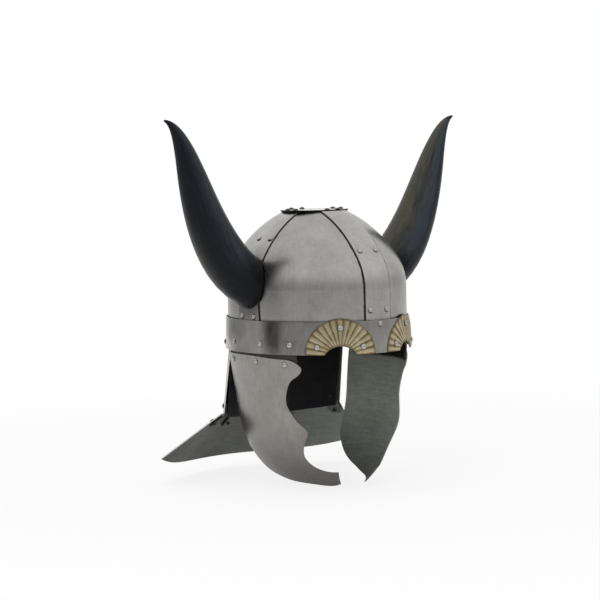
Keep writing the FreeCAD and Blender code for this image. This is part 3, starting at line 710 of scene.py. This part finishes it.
dressed(make_horn(1, "horn_left_shell", 3.7, 1.5), "helmet", "horn", "horn_left")
dressed(make_horn(-1, "horn_right_shell", 11.3, 0.7), "helmet", "horn", "horn_right")


# Brass fans over the eye arches

arch_angle = 27.7
arch_half_width = 17.8
arch_height = 9.5
fan_radius = 39.5
fan_flutes = 15
fan_skin = 0.28
fan_edge_skin = 0.12
flute_rise = 0.62
flute_sharpness = 0.75
rim_rise = 0.55
arch_radius = (arch_half_width ** 2 + arch_height ** 2) / (2 * arch_height)
arch_drop = arch_radius - arch_height


def brow_face(foot, out, along, across, z, lift):
    # Where a line pushed straight out of the brow at a place beside the arch's middle meets its face
    base = foot + along * across
    half_width = brow_half_width + spread_at(z) + lift
    half_length = brow_half_length + spread_at(z) + lift
    a = (out.x / half_width) ** 2 + (out.y / half_length) ** 2
    b = 2 * (base.x * out.x / half_width ** 2 + base.y * out.y / half_length ** 2)
    c = (base.x / half_width) ** 2 + (base.y / half_length) ** 2 - 1
    t = (-b + math.sqrt(b * b - 4 * a * c)) / (2 * a)
    spot = base + out * t
    return Vector((spot.x, spot.y, z))


def make_fan(side, name):
    rows = 26
    columns = 361
    turn = math.radians(arch_angle * side)
    foot = oval_spot(brow_half_width, brow_half_length, turn, 0)
    out = plan_out(foot, brow_half_width, brow_half_length)
    along = Vector((-out.y, out.x, 0))
    skins = []
    ridges = []
    for outer in (True, False):
        for i in range(rows + 1):
            share = i / rows
            for j in range(columns):
                angle = math.pi * j / (columns - 1)
                inner = -arch_drop * math.sin(angle) + leg(arch_radius, arch_drop * math.cos(angle))
                reach = inner + (fan_radius - inner) * share
                wave = 0.5 - 0.5 * math.cos(2 * math.pi * fan_flutes * angle / math.pi)
                wave = wave ** flute_sharpness
                fade = ease(inner, inner + 5.0, reach)
                fade *= 1 - ease(fan_radius - 2.4, fan_radius - 1.0, reach)
                rim = ease(fan_radius - 2.0, fan_radius - 1.2, reach)
                rim *= 1 - ease(fan_radius - 0.7, fan_radius, reach)
                lift = lap_gap + fan_skin + flute_rise * wave * fade + rim_rise * rim
                if not outer:
                    lift = lap_gap
                if i in (0, rows) and outer:
                    lift = lap_gap + fan_edge_skin
                z = reach * math.sin(angle)
                skins.append(brow_face(foot, out, along, reach * math.cos(angle), z, lift))
                ridges.append(wave * (0.25 + 0.75 * fade) if outer else 0.0)
    count = (rows + 1) * columns
    faces = grid_faces(rows + 1, columns)
    faces += [tuple(reversed(face)) for face in grid_faces(rows + 1, columns, offset=count)]
    rim_ids = list(range(columns))
    rim_ids += [i * columns + columns - 1 for i in range(1, rows + 1)]
    rim_ids += [rows * columns + j for j in range(columns - 2, -1, -1)]
    rim_ids += [i * columns for i in range(rows - 1, 0, -1)]
    for a, b in zip(rim_ids, rim_ids[1:] + rim_ids[:1]):
        faces.append((b, a, a + count, b + count))
    obj = make_object(name, skins, faces)
    data = obj.data.attributes.new("ridge", "FLOAT", "POINT")
    data.data.foreach_set("value", ridges)
    return reworked(obj, lambda bm: bmesh.ops.recalc_face_normals(bm, faces=bm.faces))


for side, word in sides:
    dressed(make_fan(side, "brow_fan_" + word + "_fluted"), "helmet", "brass", "brow_fan_" + word)


# Neck guard: lining and hinge tabs

neck_top = 14.0
neck_end_top = 120.7
neck_end_low = 125.5
neck_end_z = -77.0
neck_back_z = -86.0
neck_spread = 11.0
lining_drop = 4.0
lining_flare = 4.6
lining_end_extra = 1.3
lining_trim = 0.1
lining_edge = 0.45
neck_width_share = (brow_half_width - level_3) / (brow_half_length - level_3)
flare_gap = 2.0
flare_back_width = 56.0
flare_corner_width = 71.0
flare_back_z = -142.5
flare_corner_z = -127.5
flare_corner_power = 4


def neck_low_z(y):
    y_end = -(brow_half_length + neck_spread) * math.cos(math.radians(neck_end_low))
    share = (y - y_end) / (brow_half_length + neck_spread - y_end)
    return neck_end_z + (neck_back_z - neck_end_z) * share


def neck_offset(z):
    if z > 0:
        return spread_at(z) - level_3
    return spread_at(0.0) - level_3 + neck_spread * z / neck_back_z


def neck_point(angle, z, depth):
    # A point at a depth inside the neck plate's outer face, and the way outward in plan
    half_length = brow_half_length + neck_offset(z) - depth
    half_width = neck_width_share * half_length
    spot = oval_spot(half_width, half_length, math.radians(angle), z)
    return spot, plan_out(spot, half_width, half_length)


def lining_depth(z):
    lining_low_z = neck_back_z - sheet - lining_drop
    return sheet + lap_gap + lining_flare * min(z, 0.0) / lining_low_z


def make_lining():
    rows = 60
    columns = 220
    vertices = []
    for share in shares(rows):
        for run in runs(columns):
            z = neck_top
            for _ in range(3):
                end = neck_end_top + lining_end_extra
                end += (neck_end_low - neck_end_top) * max(-z, 0.0) / -neck_end_z
                angle = 180.0 + run * (180.0 - end)
                y = -(brow_half_length + neck_offset(z)) * math.cos(math.radians(angle))
                low = neck_low_z(y) - lining_drop
                z = neck_top + (low - neck_top) * share
            spot, out = neck_point(angle, z, lining_depth(z) + hide / 2 + skin_gap)
            slack = 0.45 * ease(0.0, 1.0, share) * (0.6 + ripple(spot, 26.0))
            slack += 0.18 * ripple(spot, 9.0) * ease(-2.0, -20.0, z)
            vertices.append(spot - out * max(slack, 0.0))
    return skin("neck_lining_leather", vertices, columns, hide - lining_trim, lining_edge)


dressed(make_lining(), "helmet", "lining_leather", "neck_lining")


def plate_low_z(angle):
    # Height of the neck plate's lower edge
    return neck_low_z((brow_half_length + neck_offset(neck_back_z)) * -math.cos(math.radians(angle)))


def flare_edge(angle):
    turn = math.radians(angle)
    across = oval_spot(1, 1, turn, 0)
    start = neck_point(angle, plate_low_z(angle), -(flare_gap + sheet))[0]
    swing = abs(180.0 - abs(angle)) / (180.0 - neck_end_low)
    share = swing ** flare_corner_power
    width = flare_back_width + (flare_corner_width - flare_back_width) * share
    low_z = flare_back_z + (flare_corner_z - flare_back_z) * share
    return start, Vector((start.x + width * across.x, start.y + width * across.y, low_z))


def flare_spot(angle, share):
    start, rim = flare_edge(angle)
    before = flare_edge(angle - 1.0)
    after = flare_edge(angle + 1.0)
    across = after[0].lerp(after[1], share) - before[0].lerp(before[1], share)
    normal = across.cross(rim - start).normalized()
    if normal.z < 0:
        normal = -normal
    return start.lerp(rim, share), normal


tab_angles = (130.0, 158.0)
tab_half_width = 7.0
tab_leg = 15.0
tab_gap = 0.6
tab_flare_gap = 0.9
tab_drop = 1.2
tab_step = 4.0
tab_length = 34.0
tab_corner = 4.0


def catmull(points, share):
    # A smooth curve through points; share runs from 0 to 1
    place = share * (len(points) - 1)
    index = min(int(place), len(points) - 2)
    t = place - index
    p0 = points[max(index - 1, 0)]
    p1 = points[index]
    p2 = points[index + 1]
    p3 = points[min(index + 2, len(points) - 1)]
    square = (2 * p0 - 5 * p1 + 4 * p2 - p3) * t * t
    cube = (3 * p1 - p0 - 3 * p2 + p3) * t ** 3
    return 0.5 * (2 * p1 + (p2 - p0) * t + square + cube)


def make_tab(angle):
    low_z = plate_low_z(angle)
    depth = sheet + tab_gap + hide / 2
    knee, out = neck_point(angle, low_z - tab_drop, depth)
    high = neck_point(angle, low_z + tab_leg, depth)[0]
    mid_high = high.lerp(knee, 0.5)
    along = Vector((-out.y, out.x, 0))
    start, rim = flare_edge(angle)
    length = (rim - start).length
    lift = sheet + tab_flare_gap + hide / 2
    bend, normal = flare_spot(angle, tab_step / length)
    foot, normal = flare_spot(angle, (tab_step + tab_leg) / length)
    bend = bend - normal * lift
    foot = foot - normal * lift
    points = [high, mid_high, knee, bend, bend.lerp(foot, 0.5), foot]
    flat = [point - along * (point - knee).dot(along) for point in points]
    rows = 46
    columns = 21
    vertices = []
    for share in shares(rows):
        middle = catmull(flat, share)
        end = min(share, 1 - share) * tab_length
        half = tab_half_width
        if end < tab_corner:
            half = tab_half_width - tab_corner + leg(tab_corner, tab_corner - end)
        for run in runs(columns):
            spot = middle + along * (run * half)
            crease = 0.25 * ripple(spot, 5.0) * ease(0.25, 0.45, share)
            crease *= 1 - ease(0.6, 0.8, share)
            vertices.append(spot + out * (crease - 0.12 * abs(run)))
    return skin("tab", vertices, columns)


tabs = [make_tab(side * angle) for angle in tab_angles for side in (-1, 1)]
tabs = dressed(joined("flare_hinge_leathers", tabs), None, "hinge_leather", "flare_hinge_tabs")
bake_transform(tabs)


# Cheek strips

cheek_axis_x = 31.7
cheek_bend_z = -70.6
cheek_bend_radius = 120.6
cheek_lean = math.radians(8.2)
strip_top = 17.0
strip_drop = 17.0
strip_front = -66.0
strip_rear = 47.0
strip_corner = 6.0


def make_strip(side, name):
    rows = 44
    columns = 120
    vertices = []
    for i in range(rows):
        z = strip_top - (strip_top + strip_drop) * i / (rows - 1)
        for j in range(columns):
            y = strip_front + (strip_rear - strip_front) * j / (columns - 1)
            end = min(i, rows - 1 - i) / (rows - 1) * (strip_top + strip_drop)
            if end < strip_corner:
                pull = strip_corner - leg(strip_corner, strip_corner - end)
                middle = (strip_front + strip_rear) / 2
                y = middle + (y - middle) * (1 - pull / (strip_rear - middle))
            half_width = brow_half_width - level_3 - hide / 2 + spread_at(z)
            half_length = brow_half_length - level_3 - hide / 2 + spread_at(z)
            high_x = half_width * math.sqrt(1 - (y / half_length) ** 2)
            radius = cheek_bend_radius + (z - cheek_bend_z) * math.tan(cheek_lean)
            radius -= sheet + lap_gap + hide / 2 + skin_gap
            low_x = -cheek_axis_x + leg(radius, y)
            share = ease(6.0, -3.0, z)
            x = high_x + (low_x - high_x) * share
            spot = Vector((x, y, z))
            x -= 0.5 * abs(ripple(spot, 11.0)) * ease(9.0, 1.0, z) * ease(-8.0, -1.0, z)
            vertices.append((side * x, y, z))
    return skin(name, vertices, columns)


for side, word in sides:
    strip = make_strip(side, "cheek_leather_" + word)
    dressed(strip, None, "hinge_leather", "cheek_strip_" + word)
    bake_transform(strip)


# Liner: headband, tongues, stitches and lace

liner_low_z = brow_height
headband_lift = 0.2
liner_high_z = 60.0
tongue_low_z = 52.0
liner_top = 131.0
tongue_count = 8
tongue_half_low = 24.0
tongue_half_high = 6.5
tongue_hole = 16.0
lace_ring = 19.5
liner_shoulder = 38.0
tongue_trim = 0.2
stitched_share = 0.08
stitch_rows_z = (54.0, 58.0)
stitch_count = 132
stitch_half_length = 1.75
stitch_radius = 0.42
stitch_sink = 0.7
stitch_slant = 0.25
stitch_gap = 0.6
pucker_depth = 0.22
pucker_count = 44
roll_depth = 0.5
thong_radius = 1.15
thong_points = 48
thong_wander = 0.8
thong_lift = 1.7
thong_weave = 0.35
thong_end = ((1.0, 19.0, 130.6), (3.5, 17.0, 131.0), (5.0, 13.0, 129.0), (5.5, 10.5, 124.0),
             (6.5, 10.0, 117.0), (6.0, 10.5, 111.0))


def make_headband():
    rows = 30
    columns = 480
    vertices = []
    for share in shares(rows):
        z = liner_low_z + headband_lift + (liner_high_z - liner_low_z - headband_lift) * share
        for j in range(columns):
            angle = 360.0 * j / columns
            spot, out = wall_point(angle, z, level_3 + hide / 2 + skin_gap)
            pucker = pucker_depth * math.sin(math.radians(angle) * pucker_count)
            pucker *= 1 - ease(0.0, 0.35, share)
            pucker += 0.3 * ripple(spot, 17.0)
            roll = roll_depth * (1 - ease(0.0, 0.14, share))
            vertices.append(spot - out * max(roll + pucker, 0.0))
    return skin("liner_band_leather", vertices, columns, closed=True)


def make_tongue(index):
    depth = level_3 + hide + lap_gap + hide / 2
    half_width = brow_half_width - depth
    half_length = brow_half_length - depth
    arch = Arch(half_length, liner_high_z, liner_top - hide / 2, liner_shoulder, lace_ring)
    turn = math.radians(360.0 * (index + 0.5) / tongue_count)
    way = oval_spot(1, 1, turn, 0)
    across = Vector((math.cos(turn), math.sin(turn), 0))
    edge = 1.0 / math.hypot(way.x / half_width, way.y / half_length)
    rows = 70
    columns = 33
    slope = (tongue_half_low - tongue_half_high) / (brow_half_length - tongue_hole)
    vertices = []
    for share in shares(rows):
        climb = share ** 0.8
        reach = edge
        if share > stitched_share:
            reach = edge - (edge - tongue_hole - 0.3) * ease(0.0, 1.0, climb)
        half = tongue_half_high + slope * (reach - tongue_hole)
        tip = ease(tongue_hole, tongue_hole + 7.0, reach)
        half *= 0.62 + 0.38 * tip
        for run in runs(columns):
            spot = way * reach + across * (run * half)
            plan = math.hypot(spot.x / half_width, spot.y / half_length)
            if plan > 1.0:
                spot = spot / plan
                plan = 1.0
            if share <= stitched_share:
                z = tongue_low_z + (liner_high_z - tongue_low_z) * share / stitched_share
            else:
                z = arch.height(plan)
            flat = Vector((spot.x, spot.y, z))
            inward = Vector((-spot.x, -spot.y, -0.9 * max(z - liner_high_z, 0.0))).normalized()
            pad = 1.1 * (1 - run ** 2) ** 0.7 * ease(0.1, 0.3, share) * (1 - 0.6 * share)
            pad += 0.35 * (ripple(flat, 14.0) + 0.6)
            vertices.append(flat + inward * pad)
    return skin("tongue_leather_" + str(index + 1), vertices, columns, hide - tongue_trim)


def make_stitches():
    # Two rows of saddle stitches that hold the tongues to the headband
    pieces = []
    for z in stitch_rows_z:
        for index in range(stitch_count):
            angle = 360.0 * (index + 0.5) / stitch_count
            spot, out = wall_point(angle, z, level_3 + 2 * hide + lap_gap + stitch_gap)
            along = Vector((-out.y, out.x, 0))
            vertices = []
            rows = 9
            columns = 8
            for run in runs(rows):
                thick = stitch_radius * math.sqrt(max(1 - run ** 4, 0.02))
                sink = stitch_sink * run ** 4
                for turn in turns(columns):
                    level = spot + along * (run * stitch_half_length) - out * (thick * math.cos(turn) - sink)
                    vertices.append(level + Vector((0, 0, thick * math.sin(turn) + stitch_slant * run)))
            faces = grid_faces(rows, columns, closed=True)
            faces.append(tuple(range(columns)))
            faces.append(tuple(reversed(range((rows - 1) * columns, rows * columns))))
            pieces.append(make_object("stitch", vertices, faces))
    return joined("liner_stitches", pieces)


def add_path(curve, spots, order):
    path = curve.splines.new("NURBS")
    path.points.add(len(spots) - 1)
    for point, (x, y, z) in zip(path.points, spots):
        point.co = (x * MM, y * MM, z * MM, 1.0)
    path.order_u = order
    return path


def make_lace():
    # A thong that runs over and under the tongues' tips, with two short ends
    curve = bpy.data.curves.new("lace", "CURVE")
    curve.dimensions = "3D"
    curve.bevel_depth = thong_radius * MM
    curve.bevel_resolution = 5
    curve.resolution_u = 10
    ring = []
    for turn in turns(thong_points):
        reach = lace_ring + thong_wander * math.sin(5 * turn + 0.7)
        spot = oval_spot(reach, reach, turn, 0)
        ring.append((spot.x, spot.y, liner_top + thong_lift + thong_weave * math.sin(tongue_count * turn)))
    add_path(curve, ring, 4).use_cyclic_u = True
    for sign in (-1, 1):
        add_path(curve, [(sign * x, y, z) for x, y, z in thong_end], 3).use_endpoint_u = True
    holder = placed("lace", curve)
    mesh = evaluated(holder)
    bpy.data.objects.remove(holder)
    return placed("liner_thong", mesh)


dressed(make_headband(), "helmet", "liner_leather", "liner_headband")
for index in range(tongue_count):
    dressed(make_tongue(index), "helmet", "liner_leather", "liner_tongue_" + str(index + 1))
dressed(make_stitches(), "helmet", "lace_leather", finish="waxed_thread")
dressed(make_lace(), "helmet", "lace_leather", "liner_lace")


# Black strips where the bands' edges meet the panels, and a black ring under the crown plate's rim that
# paints its shade

seam_width = 1.9
seam_foot = 0.4
seam_lap = 0.05
seam_band_depth = 0.7
seam_panel_lift = 0.08
seam_root = 0.1
band_half = 17.0
side_low = 21.0
side_high = 14.0
crown_radius = 39.0
rim_thickness = 0.4
rim_edge = 0.1


def seam_point(side, off, z, depth):
    # A point beside the middle line of a band: side is 0 front, 1 left, 2 rear and 3 right
    arch = dome_arch(depth)
    share = arch.share(z)
    half_length = arch.half_length * share
    half_width = (brow_half_width - depth) * share
    across, reach = (half_width, half_length) if side % 2 == 0 else (half_length, half_width)
    away = reach * math.sqrt(max(1 - (off / across) ** 2, 0.0))
    x, y = ((off, -away), (away, off), (-off, away), (-away, -off))[side]
    return Vector((x, y, z))


def make_band_seam(side, sign):
    rows = 90
    vertices = []
    top = dome_arch(level_2).top
    for share in shares(rows):
        rise = top - seam_lap - brow_height - seam_foot
        z = brow_height + seam_foot + rise * math.sin(share * math.pi / 2) ** 0.9
        half = band_half if side % 2 == 0 else side_low + (side_high - side_low) * z / dome_top
        width = seam_width * (0.9 + 0.35 * noise.noise(Vector((z / 6.0, side * 7.0, sign * 3.0))))
        vertices.append(seam_point(side, sign * (half - seam_lap), z, level_1 + seam_band_depth))
        vertices.append(seam_point(side, sign * (half + width), z, level_2 - seam_panel_lift))
        vertices.append(seam_point(side, sign * (half - seam_lap), z, level_2 + seam_root))
    faces = grid_faces(rows, 3, closed=True)
    faces += [(0, 1, 2), (3 * rows - 1, 3 * rows - 2, 3 * rows - 3)]
    return make_object("seam", vertices, faces)


# Painted shade: a black ring in the gap under the crown plate's rim
def make_rim_shade_ring():
    columns = 160
    vertices = []
    under = dome_top - sheet
    for reach, z in ((crown_radius - 0.5, under - 0.05), (crown_radius - 0.9, under - 0.8)):
        vertices += [oval_spot(reach, reach, turn, z) for turn in turns(columns)]
    return skin("seam", vertices, columns, rim_thickness, rim_edge, closed=True)


seams = [make_band_seam(side, sign) for side in range(4) for sign in (-1, 1)]
seams.append(make_rim_shade_ring())
dressed(joined("black_seams_and_rim_shade", seams), "helmet", "dome_steel", finish="seam_black")


# Floor, light and camera

floor_drop = 0.006
floor_half = 30.0
floor_tone = 0.86
floor_near = 0.35
floor_far = 1.1
floor_near_glow = 0.84
sky_light = 0.42
wall_radius = 2.2
wall_low_z = -0.15
wall_high_z = 1.1
wall_columns = 96
wall_white_low = 0.1
white = (1.0, 1.0, 1.0)

# Tones of the wall by the angle from the helmet's front
wall_tones = (
    (-180.0, 0.40), (-167.0, 0.32), (-150.0, 0.42), (-138.0, 0.50), (-127.0, 0.62), (-119.0, 0.30),
    (-113.0, 0.05), (-103.0, 0.05), (-96.0, 0.32), (-78.0, 0.40), (-60.0, 0.32), (-36.0, 0.36), (0.0, 0.46),
    (36.0, 0.54), (60.0, 0.70), (90.0, 0.60), (118.0, 0.75), (140.0, 1.0), (155.0, 0.9), (180.0, 0.40))

# Each lamp's name, place, aim, size in metres and power in watts
lamps = (
    ("overhead", (-0.2, -0.2, 1.6), (0, 0, 0.1), (1.7, 1.7), 16.0),
    ("left_window", (-1.5, -0.9, 0.8), (0, 0, 0.1), (1.0, 1.4), 10.0),
    ("right_fill", (1.2, -1.2, 0.5), (0, 0, 0.0), (1.0, 1.2), 3.5),
)

# The camera that the photograph's view was fitted with, roll included, in millimetres and degrees
camera_azimuth = math.radians(-35.99)
camera_elevation = math.radians(4.08)
camera_roll = math.radians(-1.33)
camera_distance = 2576.75
camera_lens = 134.29
camera_sensor = 36.0
aim_z = 56.5
aim_right = -18.96
aim_up = -2.62


def seen_rays(tree):
    # 1 for rays from the camera, in reflections and through glass, 0 for the rays that light the part
    path = tree.nodes.new("ShaderNodeLightPath")
    seen = path.outputs["Is Camera Ray"]
    for kind in ("Is Glossy Ray", "Is Transmission Ray"):
        higher = tree.nodes.new("ShaderNodeMath")
        higher.operation = "MAXIMUM"
        tree.links.new(seen, higher.inputs[0])
        tree.links.new(path.outputs[kind], higher.inputs[1])
        seen = higher.outputs[0]
    return seen


def stage_piece(name, vertices, faces, finish):
    mesh = bpy.data.meshes.new(name)
    mesh.from_pydata(vertices, [], faces)
    mesh.materials.append(finish.material)
    return placed(name, mesh)


def make_floor():
    # A pale floor, whiter away from the helmet
    z = cad_box[0][2] - floor_drop
    corners = [(x * floor_half, y * floor_half, z) for x, y in ((-1, -1), (1, -1), (1, 1), (-1, 1))]
    n = Nodes("pale_floor")
    n.put("Base Color", (floor_tone, floor_tone, floor_tone))
    n.put("Roughness", 0.9)
    glow = n.add("ShaderNodeEmission", Color=white)
    away = n.add("ShaderNodeVectorMath", operation="LENGTH", Vector=n.place)
    share = n.range(away.outputs["Value"], floor_near, floor_far, floor_near_glow, 1.0)
    blend = n.add("ShaderNodeMixShader", Fac=n.times(seen_rays(n.tree), share))
    n.feed(n.shader.outputs["BSDF"], blend.inputs[1])
    n.feed(glow.outputs["Emission"], blend.inputs[2])
    n.surface(blend.outputs["Shader"])
    floor = stage_piece("floor", corners, [(0, 1, 2, 3)], n)


def make_world():
    # White where it is seen, dimmer as a source of light
    world = bpy.data.worlds.new("studio")
    bpy.context.scene.world = world
    world.use_nodes = True
    sky = world.node_tree
    level = sky.nodes.new("ShaderNodeMapRange")
    level.inputs["To Min"].default_value = sky_light
    level.inputs["To Max"].default_value = 1.0
    sky.links.new(seen_rays(sky), level.inputs["Value"])
    back = sky.nodes["Background"]
    back.inputs["Color"].default_value = (*white, 1.0)
    sky.links.new(level.outputs["Result"], back.inputs["Strength"])


def area_light(name, spot, aim, size, power):
    data = bpy.data.lights.new(name, "AREA")
    data.shape = "RECTANGLE"
    data.size, data.size_y = size
    data.energy = power
    obj = placed(name, data)
    obj.location = spot
    obj.rotation_euler = (Vector(aim) - Vector(spot)).to_track_quat("-Z", "Y").to_euler()
    obj.visible_glossy = False


def make_wall():
    # A grey studio wall round the helmet that only reflections see: its tone changes with direction,
    # and it turns white towards the top
    vertices = []
    for z in (wall_low_z, wall_high_z):
        vertices += [oval_spot(wall_radius, wall_radius, turn, z) for turn in turns(wall_columns)]
    n = Nodes("studio_wall")
    apart = n.split(n.place)
    turn = n.math("ARCTAN2", apart["X"], n.times(apart["Y"], -1.0))
    stops = [((angle + 180.0) / 360.0, (tone, tone, tone)) for angle, tone in wall_tones]
    tone = n.ramp(n.range(turn, -math.pi, math.pi), stops)
    high = n.range(apart["Z"], wall_white_low, wall_high_z)
    n.surface(n.add("ShaderNodeEmission", Color=n.mix(high, tone, white)).outputs["Emission"])
    wall = stage_piece("studio_wall", vertices, grid_faces(2, wall_columns, closed=True), n)
    wall.visible_camera = False
    wall.visible_shadow = False
    wall.visible_diffuse = False


def make_camera():
    level_share = math.cos(camera_elevation)
    back_way = Vector((math.sin(camera_azimuth) * level_share, -math.cos(camera_azimuth) * level_share,
                       math.sin(camera_elevation)))
    right_way = Vector((math.cos(camera_azimuth), math.sin(camera_azimuth), 0.0))
    up_way = right_way.cross(-back_way).normalized()
    aim = Vector((0.0, 0.0, aim_z)) + right_way * aim_right + Vector((0.0, 0.0, aim_up))
    turned_right = math.cos(camera_roll) * right_way + math.sin(camera_roll) * up_way
    turned_up = -math.sin(camera_roll) * right_way + math.cos(camera_roll) * up_way
    data = bpy.data.cameras.new("camera")
    data.sensor_width = camera_sensor
    data.lens = camera_lens
    camera = placed("camera", data)
    pose = Matrix((turned_right, turned_up, back_way)).transposed().to_4x4()
    pose.translation = (aim + back_way * camera_distance) * MM
    camera.matrix_world = pose
    bpy.context.scene.camera = camera


make_floor()
make_world()
for lamp in lamps:
    area_light(*lamp)
make_wall()
make_camera()
bpy.context.scene.view_settings.view_transform = "Standard"
